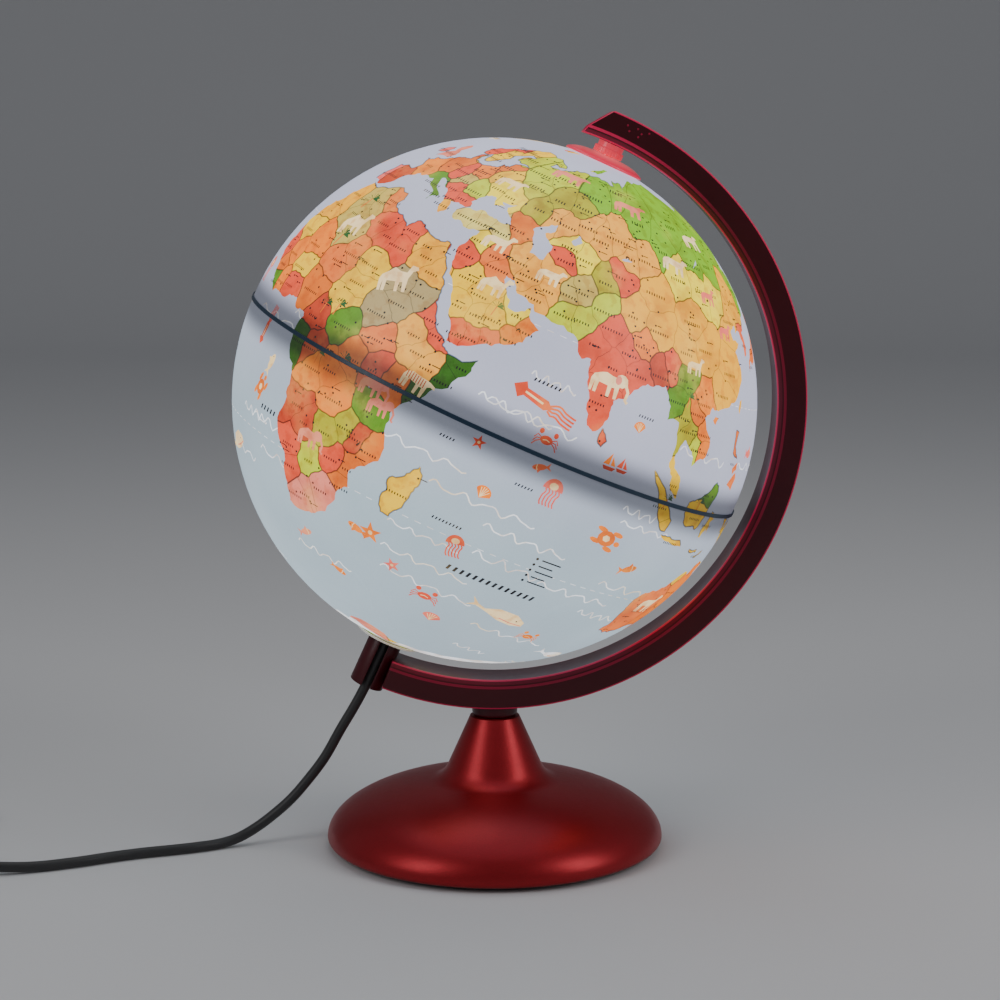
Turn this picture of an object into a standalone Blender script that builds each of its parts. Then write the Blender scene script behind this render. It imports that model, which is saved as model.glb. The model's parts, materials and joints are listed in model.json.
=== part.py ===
"""Illuminated desktop globe on a round base: lamp inside the globe, mains lead with an inline switch.

Metres, +Z up. The origin is the centre of the foot pad's underside. The arm stands in the XZ plane,
and the globe's axis leans towards +X at the top. Small sizes are written in millimetres times MM.
"""

import math

import bmesh
import bpy
from mathutils import Matrix, Vector

MM = 0.001

# Driving dimensions
GAP = 0.3 * MM  # clearance between pieces that touch
MERGE = 0.0001 * MM
GLOBE_R = 130 * MM
GLOBE_WALL = 1.2 * MM
AXIS_TILT = math.radians(24.4)
GLOBE_SIDES = 40  # facets round the globe, its ring and its band
GLOBE_ROWS = 10  # facets from equator to pole

ARM_GAP = 9.4 * MM  # between the globe and the arm's floor
ARM_DEPTH = 14.8 * MM
ARM_WIDTH = 26.2 * MM
ARM_FLOOR_WIDTH = 24.1 * MM
ARM_CHAMFER = 3.8 * MM  # radial depth of the bevel along the floor
ARM_WALL = 2.2 * MM
ARM_FLOOR = 2.4 * MM
ARM_STEP = math.radians(4)
RIB_THICK = 1.6 * MM
RIB_DEPTH = 9.0 * MM
RIB_PITCH = math.radians(12)

SLEEVE_R = 8.7 * MM
SLEEVE_BORE = 6.4 * MM
SLEEVE_DROP = 3.8 * MM  # how far the sleeve stands out of the arm's outer edge
CLAMP_INSET = 6.2 * MM  # the clamp screw's place, in from the arm's outer edge
SLOT_WIDTH = 4.6 * MM
ARM_END_OFFSET = 7.2 * MM  # the channel stops this far from the axis

PIN_R = 2.4 * MM
PIN_NECK_R = 3.7 * MM
PIN_HEAD_R = 5.5 * MM
CAP_R = 20 * MM
CAP_TOP = 3.0 * MM  # height over the globe's pole
CAP_HUB_R = 6.4 * MM
SPACER_R = 7.4 * MM
SPACER_NECK_R = 6.5 * MM
SPACER_HEIGHT = 3.3 * MM

BEARING_WALL = 1.7 * MM
BEARING_BRIM = 4.5 * MM
CARRIER_WALL = 1.5 * MM
CARRIER_FLANGE = 3.3 * MM
CARRIER_LENGTH = 38 * MM
BULB_R = 12.5 * MM
BULB_LENGTH = 57 * MM
THREAD_R = 7.1 * MM
THREAD_ROOM = 1.5 * MM  # between the lamp's thread and the socket's wall
SOCKET_WALL = 2.8 * MM

BASE_R = 85.4 * MM
BASE_DOME = 31 * MM
BASE_EDGE_Z = 5 * MM
BASE_WALL = 2.5 * MM
PAD_THICK = 1.7 * MM
PAD_INSET = 9.4 * MM  # the pad's edge, in from the base's rim
COVER_RIM = 3.9 * MM  # how far the closing plate reaches beyond the pad
COVER_PLAY = 0.7 * MM
COVER_THICK = 2.6 * MM
STEM_TOP_R = 12.75 * MM
STEM_HEIGHT = 31 * MM  # above the dome's crown
STEM_BEVEL = 0.7 * MM
STEM_SLOPE = math.radians(24)
COLLAR_R = 11.5 * MM
COLLAR_HEIGHT = 5.8 * MM  # up to the arm's outer edge
SPIGOT_R = 8.2 * MM
SPIGOT_LENGTH = 23.3 * MM
BOLT_R = 2.6 * MM
INSERT_WALL = 2 * MM
INSERT_LENGTH = 14 * MM
WEB_THICK = 4 * MM  # the stem's web that the bolt pulls on
WASHER_THICK = 1 * MM
BALLAST_THICK = 7 * MM
BALLAST_INNER = 20 * MM
BALLAST_PLAY = 2.2 * MM
SCREW_INSET = 10 * MM  # the closing plate's screws, in from the pad's edge
BOSS_R = 3.8 * MM
BOSS_BORE = 9 * MM
SCREW_R = 1.45 * MM
SCREW_HEAD_R = 3.2 * MM

CORD_R = 2.6 * MM
CORD_PLAY = 0.7 * MM  # between the lead and the front of the sleeve's bore
CORD_STEP = 12 * MM
SWITCH_AT = (-293 * MM, -57 * MM)
SWITCH_HALF = 29 * MM
SWITCH_HALF_WIDTH = 13 * MM
SWITCH_NOSE = 5.4 * MM
SWITCH_WALL = 2 * MM
SWITCH_SPLIT = 6.4 * MM
SWITCH_HIGH = 14.3 * MM
SWITCH_SCREW_X = 18 * MM
ROCKER_PIVOT_Z = 10.2 * MM
COIL_AT = (-393 * MM, -17.8 * MM)
COIL_INNER = 17.3 * MM
COIL_OUTER = 42 * MM
COIL_LOW = 1.3 * MM
COIL_HIGH = 11.9 * MM
TIE_THICK = 0.8 * MM
TIE_HALF = 2.5 * MM
PLUG_AT = (-320 * MM, 21.4 * MM, 7.2 * MM)
PLUG_LENGTH = 33 * MM
PLUG_RELIEF = 20 * MM
PLUG_PIN_Y = 9.3 * MM
ROCKER_REST = math.radians(-7)

# Sizes that follow from the driving ones
ARM_INNER = GLOBE_R + ARM_GAP
ARM_OUTER = ARM_INNER + ARM_DEPTH
ARM_MIDDLE = (ARM_INNER + ARM_OUTER) / 2
STEM_TOP_Z = BASE_EDGE_Z + BASE_DOME + STEM_HEIGHT
GLOBE_CENTRE_Z = STEM_TOP_Z + COLLAR_HEIGHT + ARM_OUTER
SLEEVE_END = ARM_OUTER + SLEEVE_DROP  # from the globe's centre, along its axis
CLAMP_AT = ARM_OUTER - CLAMP_INSET
SOCKET_R = THREAD_R + THREAD_ROOM + SOCKET_WALL
CARRIER_INNER = SOCKET_R + GAP
CARRIER_R = CARRIER_INNER + CARRIER_WALL
SOUTH_HOLE_R = CARRIER_R + 2 * GAP + BEARING_WALL
FLANGE_TOP = -GLOBE_R - 0.7 * MM
FLANGE_LOW = FLANGE_TOP - 0.9 * MM
PAD_R = BASE_R - PAD_INSET
COVER_R = PAD_R + COVER_RIM
SCREW_CIRCLE = PAD_R - SCREW_INSET
BALLAST_R = SCREW_CIRCLE - BOSS_R - BALLAST_PLAY
SPIGOT_LOW = STEM_TOP_Z + GAP - SPIGOT_LENGTH
CORD_OFFSET = -(SLEEVE_BORE - CORD_R - CORD_PLAY)  # the lead runs in the front half of the sleeve

# Hand-chosen points of the lead, in millimetres, from the lamp socket to the switch
LAMP_TO_SWITCH = [
    (-51.4, -3.1, 113.7), (-54.5, -3.1, 106.8), (-59.9, -3.1, 95.0), (-65.3, -3.1, 83.1),
    (-71.1, -3.2, 72.2), (-78.2, -3.2, 60.2), (-86.5, -3.2, 45.4), (-95.5, -3.3, 33.3),
    (-104.3, -3.6, 23.2), (-113.9, -4.3, 14.8), (-122.4, -5.8, 8.8), (-131.2, -8.4, 4.4),
    (-140.2, -12.6, 2.75), (-150.8, -18.1, 2.75), (-163.4, -22.9, 2.75), (-176.2, -27.3, 2.75),
    (-190.4, -33.6, 2.75), (-208.0, -42.8, 2.75), (-227.0, -50.6, 3.0), (-245.0, -55.4, 4.5),
    (-256.0, -56.8, 6.0), (-263.7, -57.0, 6.5),
]
SWITCH_TO_COIL = [
    (-322.3, -57.0, 6.5), (-334.0, -57.0, 5.4), (-350.0, -57.0, 4.1), (-371.6, -57.0, 3.9),
]
COIL_TO_PLUG = [
    (-371.6, 21.4, 9.1), (-361.5, 21.4, 8.0), (-351.0, 21.4, 7.3), (-340.4, 21.4, 7.2),
]

SHELL_R = GLOBE_R - GLOBE_WALL
SEAM = GAP / 2
SHELL_SAG = SHELL_R * (1 - math.cos(math.pi / 4 / GLOBE_ROWS))  # its flat facets lie this far inside it


# Materials
def finish(name, colour, roughness, metallic=0.0):
    made = bpy.data.materials.new(name)
    made.use_nodes = True
    shader = made.node_tree.nodes["Principled BSDF"]
    shader.inputs["Base Color"].default_value = (*colour, 1.0)
    shader.inputs["Roughness"].default_value = roughness
    shader.inputs["Metallic"].default_value = metallic
    return made


RED_LACQUER = finish("red_lacquer", (0.26, 0.010, 0.014), 0.36, 0.25)
RED_PLASTIC = finish("red_plastic", (0.18, 0.006, 0.012), 0.30)
PINK_PLASTIC = finish("pink_plastic", (0.62, 0.050, 0.075), 0.38)
MAP_NORTH = finish("map_north", (0.62, 0.60, 0.36), 0.45)
MAP_SOUTH = finish("map_south", (0.50, 0.62, 0.70), 0.45)
NAVY_TAPE = finish("navy_tape", (0.012, 0.035, 0.075), 0.40)
WHITE_PLASTIC = finish("white_plastic", (0.80, 0.79, 0.74), 0.45)
BLACK_PLASTIC = finish("black_plastic", (0.014, 0.014, 0.015), 0.42)
BLACK_LEAD = finish("black_lead", (0.010, 0.010, 0.011), 0.50)
STEEL = finish("steel", (0.55, 0.55, 0.56), 0.30, 1.0)
NICKEL = finish("nickel", (0.66, 0.64, 0.60), 0.22, 1.0)
BRASS = finish("brass", (0.70, 0.50, 0.20), 0.28, 1.0)
BALLAST_IRON = finish("ballast_iron", (0.10, 0.10, 0.11), 0.65, 0.6)
FOAM = finish("foam", (0.03, 0.03, 0.032), 0.90)
OPAL_GLASS = finish("opal_glass", (0.92, 0.88, 0.80), 0.20)


# Shape tools
def placed(name, shape, material, parent=None, at=(0, 0, 0), turn=(0, 0, 0)):
    """A mesh object from a bmesh, smooth with its corners kept sharp."""
    bmesh.ops.recalc_face_normals(shape, faces=shape.faces)
    mesh = bpy.data.meshes.new(name)
    shape.to_mesh(mesh)
    shape.free()
    mesh.shade_smooth()
    mesh.set_sharp_from_angle(angle=math.radians(32))
    mesh.materials.append(material)
    made = bpy.data.objects.new(name, mesh)
    bpy.context.scene.collection.objects.link(made)
    made.parent = parent
    made.location = at
    made.rotation_euler = turn
    return made


def turned(profile, sides):
    """A body of revolution about Z. The (radius, height) profile ends on the axis or closes on itself."""
    shape = bmesh.new()
    points = [shape.verts.new((radius, 0, height)) for radius, height in profile]
    edges = [shape.edges.new(pair) for pair in zip(points, points[1:])]
    if profile[0][0] > 0:
        edges.append(shape.edges.new((points[-1], points[0])))
    bmesh.ops.spin(
        shape,
        geom=points + edges,
        cent=(0, 0, 0),
        axis=(0, 0, 1),
        angle=math.tau,
        steps=sides,
        use_merge=True,
    )
    bmesh.ops.remove_doubles(shape, verts=shape.verts, dist=MERGE)
    return shape


def rod(radius, low, high, sides=24):
    return turned([(0, low), (radius, low), (radius, high), (0, high)], sides)


def tube(inner, outer, low, high, sides=24):
    return turned([(inner, low), (outer, low), (outer, high), (inner, high)], sides)


def post(bore, outer, low, bore_end, high, sides=16):
    """A boss with a blind hole that opens downwards."""
    return turned(
        [(0, bore_end), (bore, bore_end), (bore, low), (outer, low), (outer, high), (0, high)], sides
    )


def prism(outline, low, high):
    """An outline in XY, extruded from one height to another."""
    shape = bmesh.new()
    face = shape.faces.new([shape.verts.new((x, y, low)) for x, y in outline])
    lifted = bmesh.ops.extrude_face_region(shape, geom=[face])["geom"]
    rise = [item for item in lifted if isinstance(item, bmesh.types.BMVert)]
    bmesh.ops.translate(shape, vec=(0, 0, high - low), verts=rise)
    return shape


def block(low, high):
    corners = [(low[0], low[1]), (high[0], low[1]), (high[0], high[1]), (low[0], high[1])]
    return prism(corners, low[2], high[2])


def lofted(rings):
    """A skin over rings of points, closed at both ends."""
    shape = bmesh.new()
    rows = [[shape.verts.new(point) for point in ring] for ring in rings]
    for near, far in zip(rows, rows[1:]):
        for i in range(len(near)):
            j = (i + 1) % len(near)
            shape.faces.new((near[i], near[j], far[j], far[i]))
    shape.faces.new(rows[0])
    shape.faces.new(rows[-1])
    return shape


def merged(shapes):
    """Several separate shapes in one bmesh, for a cutter or a set of ribs."""
    whole = bmesh.new()
    for shape in shapes:
        spare = bpy.data.meshes.new("spare")
        shape.to_mesh(spare)
        shape.free()
        whole.from_mesh(spare)
        bpy.data.meshes.remove(spare)
    return whole


def moved(shape, matrix):
    bmesh.ops.transform(shape, matrix=matrix, verts=shape.verts)
    return shape


def trimmed(shape, point, outward):
    """The shape without what lies beyond a plane, with the cut closed."""
    everything = shape.verts[:] + shape.edges[:] + shape.faces[:]
    cut = bmesh.ops.bisect_plane(
        shape, geom=everything, dist=MERGE, plane_co=point, plane_no=outward, clear_outer=True
    )
    rim = [item for item in cut["geom_cut"] if isinstance(item, bmesh.types.BMEdge)]
    bmesh.ops.edgeloop_fill(shape, edges=rim)
    return shape


def combined(target, operation, name, shape, at=(0, 0, 0), turn=(0, 0, 0)):
    """Joins a helper shape to an object, or cuts it away."""
    helper = placed(name, shape, target.data.materials[0], target.parent, at, turn)
    helper.hide_render = True
    helper.display_type = "WIRE"
    step = target.modifiers.new(name, "BOOLEAN")
    step.operation = operation
    step.solver = "EXACT"
    step.object = helper


def circle(radius, sides, start=0.0, centre=(0.0, 0.0)):
    turns = [start + math.tau * i / sides for i in range(sides)]
    return [(centre[0] + radius * math.cos(a), centre[1] + radius * math.sin(a)) for a in turns]


def smooth_route(points, spacing):
    """Points at an even spacing on a Catmull-Rom curve through the given points."""
    route = [Vector(point) * MM for point in points]
    route = [2 * route[0] - route[1], *route, 2 * route[-1] - route[-2]]
    dense = []
    for before, start, end, after in zip(route, route[1:], route[2:], route[3:]):
        for k in range(24):
            t = k / 24
            dense.append(
                0.5
                * (
                    2 * start
                    + (end - before) * t
                    + (2 * before - 5 * start + 4 * end - after) * t**2
                    + (3 * start - before - 3 * end + after) * t**3
                )
            )
    dense.append(route[-2])
    lengths = [0.0]
    for near, far in zip(dense, dense[1:]):
        lengths.append(lengths[-1] + (far - near).length)
    count = max(3, round(lengths[-1] / spacing) + 1)
    even = []
    for i in range(count):
        wanted = lengths[-1] * i / (count - 1)
        k = min(max(j for j, length in enumerate(lengths) if length <= wanted + 1e-9), len(dense) - 2)
        share = (wanted - lengths[k]) / (lengths[k + 1] - lengths[k])
        even.append(dense[k].lerp(dense[k + 1], share))
    return even


def lead(name, points):
    """A stretch of the mains lead as a round tube."""
    curve = bpy.data.curves.new(name, "CURVE")
    curve.dimensions = "3D"
    curve.bevel_depth = CORD_R
    curve.bevel_resolution = 2
    curve.use_fill_caps = True
    route = smooth_route(points, CORD_STEP)
    spline = curve.splines.new("POLY")
    spline.points.add(len(route) - 1)
    for point, place in zip(spline.points, route):
        point.co = (*place, 1)
    curve.materials.append(BLACK_LEAD)
    made = bpy.data.objects.new(name, curve)
    bpy.context.scene.collection.objects.link(made)
    return made


def empty(name, at, turn=(0, 0, 0), parent=None):
    made = bpy.data.objects.new(name, None)
    made.location = at
    made.rotation_euler = turn
    made.parent = parent
    bpy.context.scene.collection.objects.link(made)
    return made


# Globe: two half shells, their joint ring, the equator tape, the north cap and the south bearing
def half_shell(hole):
    """Profile of one half of the globe, from the equator to the hole at its pole, out and back."""

    def arc(radius):
        start = math.asin(SEAM / radius)
        stop = math.acos(hole / radius)
        turns = [start + (stop - start) * i / GLOBE_ROWS for i in range(GLOBE_ROWS + 1)]
        return [(radius * math.cos(a), radius * math.sin(a)) for a in turns]

    return arc(GLOBE_R) + arc(SHELL_R)[::-1]


def globe_surface(radius, lift):
    """Height of a sphere just outside the globe, at this distance from the axis."""
    return math.sqrt((GLOBE_R + lift) ** 2 - radius**2)


def build_globe(axis):
    north = turned(half_shell(CAP_HUB_R + 0.4 * MM), GLOBE_SIDES)
    placed("north_hemisphere", north, MAP_NORTH, axis)
    south = turned([(r, -z) for r, z in half_shell(SOUTH_HOLE_R)], GLOBE_SIDES)
    placed("south_hemisphere", south, MAP_SOUTH, axis)

    ring_half = 6 * MM
    ring_outer = math.sqrt(SHELL_R**2 - ring_half**2) - SHELL_SAG - GAP
    ring = tube(ring_outer - 1.6 * MM, ring_outer, -ring_half, ring_half, GLOBE_SIDES)
    placed("equator_joint_ring", ring, WHITE_PLASTIC, axis)
    band = tube(GLOBE_R + GAP, GLOBE_R + GAP + 0.45 * MM, -1.0 * MM, 1.0 * MM, GLOBE_SIDES)
    placed("equator_band", band, NAVY_TAPE, axis)

    top = GLOBE_R + CAP_TOP
    bore = PIN_R + GAP
    foot = top - 13.5 * MM
    cap = [
        (0, foot + 3 * MM), (bore, foot + 3 * MM), (bore, top), (0.44 * CAP_R, top),
        (0.64 * CAP_R, top - 0.5 * MM), (0.82 * CAP_R, top - 1.5 * MM), (0.95 * CAP_R, top - 2.7 * MM),
        (CAP_R, top - 3.4 * MM), (CAP_R, globe_surface(CAP_R, GAP)),
        (0.7 * CAP_R, globe_surface(0.7 * CAP_R, 1.3 * GAP)),
        (CAP_HUB_R, globe_surface(CAP_HUB_R, GAP)), (CAP_HUB_R, foot), (0, foot),
    ]
    placed("north_cap", turned(cap, 28), PINK_PLASTIC, axis)
    washer_out = CAP_HUB_R + 4.6 * MM
    washer_top = math.sqrt(SHELL_R**2 - washer_out**2) - SHELL_SAG - GAP
    washer = tube(CAP_HUB_R + GAP, washer_out, washer_top - 1.2 * MM, washer_top, 24)
    placed("cap_lock_washer", washer, STEEL, axis)

    outer = SOUTH_HOLE_R - GAP
    bore = outer - BEARING_WALL
    brim = SOUTH_HOLE_R + BEARING_BRIM
    inside = [(r, -math.sqrt((SHELL_R - SHELL_SAG - GAP) ** 2 - r**2)) for r in (outer, brim)]
    top = inside[0][1] + 2.2 * MM
    foot = FLANGE_TOP + GAP
    bearing = [(bore, top), (brim, top), inside[1], inside[0], (outer, foot), (bore, foot)]
    placed("south_bearing_ring", turned(bearing, 28), WHITE_PLASTIC, axis)


# Arm: a C-shaped channel, open outwards, with ribs, a pivot hole, a lead sleeve and a spigot for the base
def arm_section(half_inner, half_outer, inner, chamfer, outer, start):
    """A cross-section of the arm at an angle from +X towards +Z, as a face to spin."""
    rows = [(inner, -half_inner), (inner + chamfer, -half_outer), (outer, -half_outer)]
    rows += [(radius, -side) for radius, side in reversed(rows)]
    return [(radius * math.cos(start), side, radius * math.sin(start)) for radius, side in rows]


def arm_sweep(corners, start, stop):
    """The section swung about the globe's centre in the XZ plane, from one angle down to another."""
    steps = round((start - stop) / ARM_STEP)
    turns = [Matrix.Rotation((start - stop) * i / steps, 3, "Y") for i in range(steps + 1)]
    return lofted([[turn @ Vector(corner) for corner in corners] for turn in turns])


def at_angle(degrees, radius):
    """A point in the XZ plane, its angle measured from +X towards +Z."""
    turn = math.radians(degrees)
    return Vector((math.cos(turn), 0, math.sin(turn))) * radius


def keyhole(radius, slot_half, reach):
    """A round hole with a straight slot out of its -Y side, as points round it."""
    edge = math.asin(slot_half / radius)
    start, stop = edge - math.pi / 2, 3 * math.pi / 2 - edge
    sides = 17
    turns = [start + (stop - start) * i / sides for i in range(sides + 1)]
    arc = [(radius * math.cos(a), radius * math.sin(a)) for a in turns]
    return arc + [(-slot_half, -reach), (slot_half, -reach)]


def build_arm(centre):
    ridge = ARM_INNER + ARM_CHAMFER
    tip = math.radians(74)
    south = -math.pi / 2 - AXIS_TILT
    lean = Matrix.Rotation(AXIS_TILT, 4, "Y")
    end = south + ARM_END_OFFSET / ARM_MIDDLE

    # The tip slants from the outer edge down to the bevel, then rounds off at the floor.
    apex = at_angle(67.9, ARM_OUTER)
    brow = at_angle(71.5, ridge)
    nose = at_angle(72.2, ARM_INNER)
    slant = Vector((brow.z - apex.z, 0, apex.x - brow.x)).normalized()
    front = Vector((nose.z - brow.z, 0, brow.x - nose.x)).normalized()
    outside = arm_section(ARM_FLOOR_WIDTH / 2, ARM_WIDTH / 2, ARM_INNER, ARM_CHAMFER, ARM_OUTER, tip)
    solid = arm_sweep(outside, tip, end)
    trimmed(solid, apex, slant)
    trimmed(solid, brow, front)
    arm = placed("meridian_arm", solid, RED_PLASTIC, centre)

    half = ARM_WIDTH / 2 - ARM_WALL
    floor_top = ARM_INNER + ARM_FLOOR
    inside = arm_section(half, half, floor_top, 1 * MM, ARM_OUTER + 6 * MM, tip)
    channel = arm_sweep(inside, tip, end + ARM_WALL / ARM_MIDDLE)
    trimmed(channel, apex - slant * ARM_WALL, slant)
    combined(arm, "DIFFERENCE", "arm_channel", channel)

    ribs = []
    root = 0.5 * MM  # how far a rib reaches into the walls
    for i in range(14):
        turn = math.radians(54) - i * RIB_PITCH
        if abs(turn + math.pi / 2) > math.radians(7) and turn > south + math.radians(6):
            rib = block(
                (floor_top - root, -half - root, -RIB_THICK / 2),
                (floor_top + RIB_DEPTH, half + root, RIB_THICK / 2),
            )
            ribs.append(moved(rib, Matrix.Rotation(-turn, 4, "Y")))
    combined(arm, "UNION", "arm_ribs", merged(ribs))

    collar_low = STEM_TOP_Z + GAP - GLOBE_CENTRE_Z
    spigot_low = SPIGOT_LOW - GLOBE_CENTRE_Z
    bevel = 0.6 * MM
    in_floor = -ARM_INNER - ARM_FLOOR / 2
    stub = turned(
        [
            (0, spigot_low), (SPIGOT_R - bevel, spigot_low), (SPIGOT_R, spigot_low + bevel),
            (SPIGOT_R, collar_low), (COLLAR_R, collar_low), (COLLAR_R, in_floor), (0, in_floor),
        ],
        24,
    )
    combined(arm, "UNION", "arm_spigot", stub)
    insert_low = spigot_low + 2 * MM
    insert_top = insert_low + INSERT_LENGTH
    insert_r = BOLT_R + INSERT_WALL
    over = 2 * MM  # how far a cutter reaches past what it cuts
    insert_bore = rod(insert_r + GAP, spigot_low - over, insert_top + 0.5 * MM, 16)
    combined(arm, "DIFFERENCE", "insert_bore", insert_bore)

    sleeve = rod(SLEEVE_R, -SLEEVE_END, FLANGE_LOW - GAP, 24)
    combined(arm, "UNION", "lead_sleeve", moved(sleeve, lean))
    way = prism(keyhole(SLEEVE_BORE, SLOT_WIDTH / 2, SLEEVE_R + over), -SLEEVE_END - over, FLANGE_LOW + over)
    combined(arm, "DIFFERENCE", "lead_way", moved(way, lean))
    side_hole = rod(SCREW_R + GAP, 3 * MM, ARM_WIDTH / 2 + over, 12)
    to_side = lean @ Matrix.Translation((0, 0, -CLAMP_AT)) @ Matrix.Rotation(-math.pi / 2, 4, "X")
    combined(arm, "DIFFERENCE", "clamp_hole", moved(side_hole, to_side))
    pin_hole = rod(PIN_NECK_R + GAP, ARM_INNER - 2 * over, floor_top + over, 18)
    combined(arm, "DIFFERENCE", "pin_hole", moved(pin_hole, lean))

    insert = tube(BOLT_R + GAP, insert_r, insert_low, insert_top, 20)
    placed("arm_insert", insert, BRASS, centre)


def build_pivot(axis):
    floor_top = ARM_INNER + ARM_FLOOR
    bore_end = GLOBE_R + CAP_TOP - 10.5 * MM
    head = floor_top + GAP
    head_top = head + 3 * MM
    bevel = 0.8 * MM
    pin = [
        (0, head_top), (PIN_HEAD_R - bevel, head_top), (PIN_HEAD_R, head_top - bevel), (PIN_HEAD_R, head),
        (PIN_NECK_R, head), (PIN_NECK_R, ARM_INNER), (PIN_R, ARM_INNER), (PIN_R, bore_end + GAP + bevel),
        (PIN_R - bevel, bore_end + GAP), (0, bore_end + GAP),
    ]
    placed("pivot_pin", turned(pin, 18), STEEL, axis)

    low = GLOBE_R + CAP_TOP + GAP
    shoulder = low + SPACER_HEIGHT
    high = ARM_INNER - GAP
    spacer = [
        (PIN_R + GAP, low), (SPACER_R, low), (SPACER_R, shoulder), (SPACER_NECK_R, shoulder),
        (SPACER_NECK_R, high), (PIN_R + GAP, high),
    ]
    sides = 32
    shape = turned(spacer, sides)
    for vert in shape.verts:
        facet = round(math.atan2(vert.co.y, vert.co.x) / math.tau * sides)
        if math.hypot(vert.co.x, vert.co.y) > SPACER_R - MERGE and facet % 2:
            vert.co.xy *= 1 - 0.5 * MM / SPACER_R
    placed("pivot_spacer", shape, PINK_PLASTIC, axis)


# Lamp: a carrier tube on a key in the sleeve, a screw socket and a tubular bulb
def build_lamp(axis):
    rim = FLANGE_LOW + CARRIER_LENGTH
    floor = FLANGE_LOW + 2 * MM
    flange_r = CARRIER_R + CARRIER_FLANGE
    profile = [
        (0, floor), (CARRIER_INNER, floor), (CARRIER_INNER, rim), (CARRIER_R, rim), (CARRIER_R, FLANGE_TOP),
        (flange_r, FLANGE_TOP), (flange_r, FLANGE_LOW), (0, FLANGE_LOW),
    ]
    carrier = placed("lamp_carrier", turned(profile, 28), WHITE_PLASTIC, axis)
    key_r = SLEEVE_BORE - GAP
    key = [(x, max(y, 0.1 * MM)) for x, y in circle(key_r, 16) if y > -MERGE]
    combined(carrier, "UNION", "carrier_key", prism(key, -SLEEVE_END + 2 * MM, FLANGE_LOW + 0.5 * MM))
    lead_hole = rod(CORD_R + GAP, FLANGE_LOW - 1 * MM, floor + 1 * MM, 14)
    combined(carrier, "DIFFERENCE", "carrier_lead_hole", lead_hole, (0, CORD_OFFSET, 0))
    pilot = moved(rod(SCREW_R + GAP, 1.5 * MM, SLEEVE_R, 12), Matrix.Rotation(-math.pi / 2, 4, "X"))
    combined(carrier, "DIFFERENCE", "clamp_pilot", pilot, (0, 0, -CLAMP_AT))

    head = SLEEVE_R + GAP
    head_top = head + 1.6 * MM
    screw = [
        (0, 2.2 * MM), (SCREW_R, 2.2 * MM), (SCREW_R, head), (2.8 * MM, head), (2.3 * MM, head_top),
        (0, head_top),
    ]
    placed("carrier_screw", turned(screw, 16), STEEL, axis, (0, 0, -CLAMP_AT), (-math.pi / 2, 0, 0))
    grip = tube(CORD_R + GAP, CORD_R + 2.4 * MM, floor + GAP, floor + 4 * MM, 14)
    placed("cord_grip", grip, BLACK_PLASTIC, axis, (0, CORD_OFFSET, 0))

    bottom = floor + 5.6 * MM
    cup = bottom + 6.5 * MM
    body_top = rim + 2 * MM
    bore = THREAD_R + THREAD_ROOM
    body = [(0, bottom), (SOCKET_R, bottom), (SOCKET_R, body_top), (bore, body_top), (bore, cup), (0, cup)]
    placed("socket_body", turned(body, 24), WHITE_PLASTIC, axis)
    shell = tube(THREAD_R + 0.4 * MM, bore - GAP, cup + 3 * MM, body_top - 1.5 * MM, 18)
    placed("socket_shell", shell, NICKEL, axis)
    placed("socket_contact", rod(3.2 * MM, cup + GAP, cup + 2.0 * MM, 16), BRASS, axis)

    tip = cup + 2.3 * MM
    placed("bulb_contact", rod(2.4 * MM, tip, tip + 1.5 * MM, 16), NICKEL, axis)
    low = tip + 1.8 * MM
    wall = 0.5 * MM
    mouth = low + 25 * MM
    cap = [
        (0, low), (4.5 * MM, low), (THREAD_R, low + 2.6 * MM), (THREAD_R, mouth), (THREAD_R - wall, mouth),
        (THREAD_R - wall, low + 2.8 * MM), (4.2 * MM, low + 0.6 * MM), (0, low + 0.6 * MM),
    ]
    placed("bulb_cap", turned(cap, 18), NICKEL, axis)

    glass = 0.8 * MM
    neck_r = THREAD_R - wall - GAP
    neck = mouth - 3 * MM
    end = mouth + BULB_LENGTH
    skin = [
        (neck_r, neck), (neck_r, mouth + 1.5 * MM), (0.76 * BULB_R, mouth + 8 * MM),
        (BULB_R, mouth + 14 * MM), (BULB_R, end - 14 * MM), (0.9 * BULB_R, end - 7 * MM),
        (0.62 * BULB_R, end - 2.4 * MM), (0.25 * BULB_R, end - 0.4 * MM), (0, end),
    ]
    inside = []
    for r, z in skin[:-1]:
        at_tip = r < 0.8 * BULB_R and z > mouth + 20 * MM
        inside.append((r - glass, z - glass if at_tip else z))
    inside.append((0, end - glass))
    placed("bulb_glass", turned(skin[::-1] + inside, 18), OPAL_GLASS, axis)

    stem_r = neck_r - glass - GAP
    stem_top = mouth + 20 * MM
    stem = [
        (0, neck - 1.5 * MM), (stem_r, neck - 1.5 * MM), (stem_r, neck), (2.4 * MM, neck + 5 * MM),
        (2.2 * MM, stem_top), (0, stem_top),
    ]
    placed("bulb_stem", turned(stem, 16), OPAL_GLASS, axis)

    wire = bpy.data.curves.new("bulb_filament", "CURVE")
    wire.dimensions = "3D"
    wire.bevel_depth = 0.25 * MM
    wire.bevel_resolution = 1
    wire.use_fill_caps = True
    start = stem_top + 0.6 * MM
    hooks = enumerate((-4.5, -3, -1.5, 0, 1.5, 3, 4.5))
    zigzag = [(x, start + (16 if i % 2 else 12) * MM) for i, x in hooks]
    route = [(-1.2, start), (-4.2, start + 7 * MM), *zigzag, (4.2, start + 7 * MM), (1.2, start)]
    spline = wire.splines.new("POLY")
    spline.points.add(len(route) - 1)
    for point, (x, z) in zip(spline.points, route):
        point.co = (x * MM, 0, z, 1)
    wire.materials.append(NICKEL)
    filament = bpy.data.objects.new("bulb_filament", wire)
    filament.parent = axis
    bpy.context.scene.collection.objects.link(filament)


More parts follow.
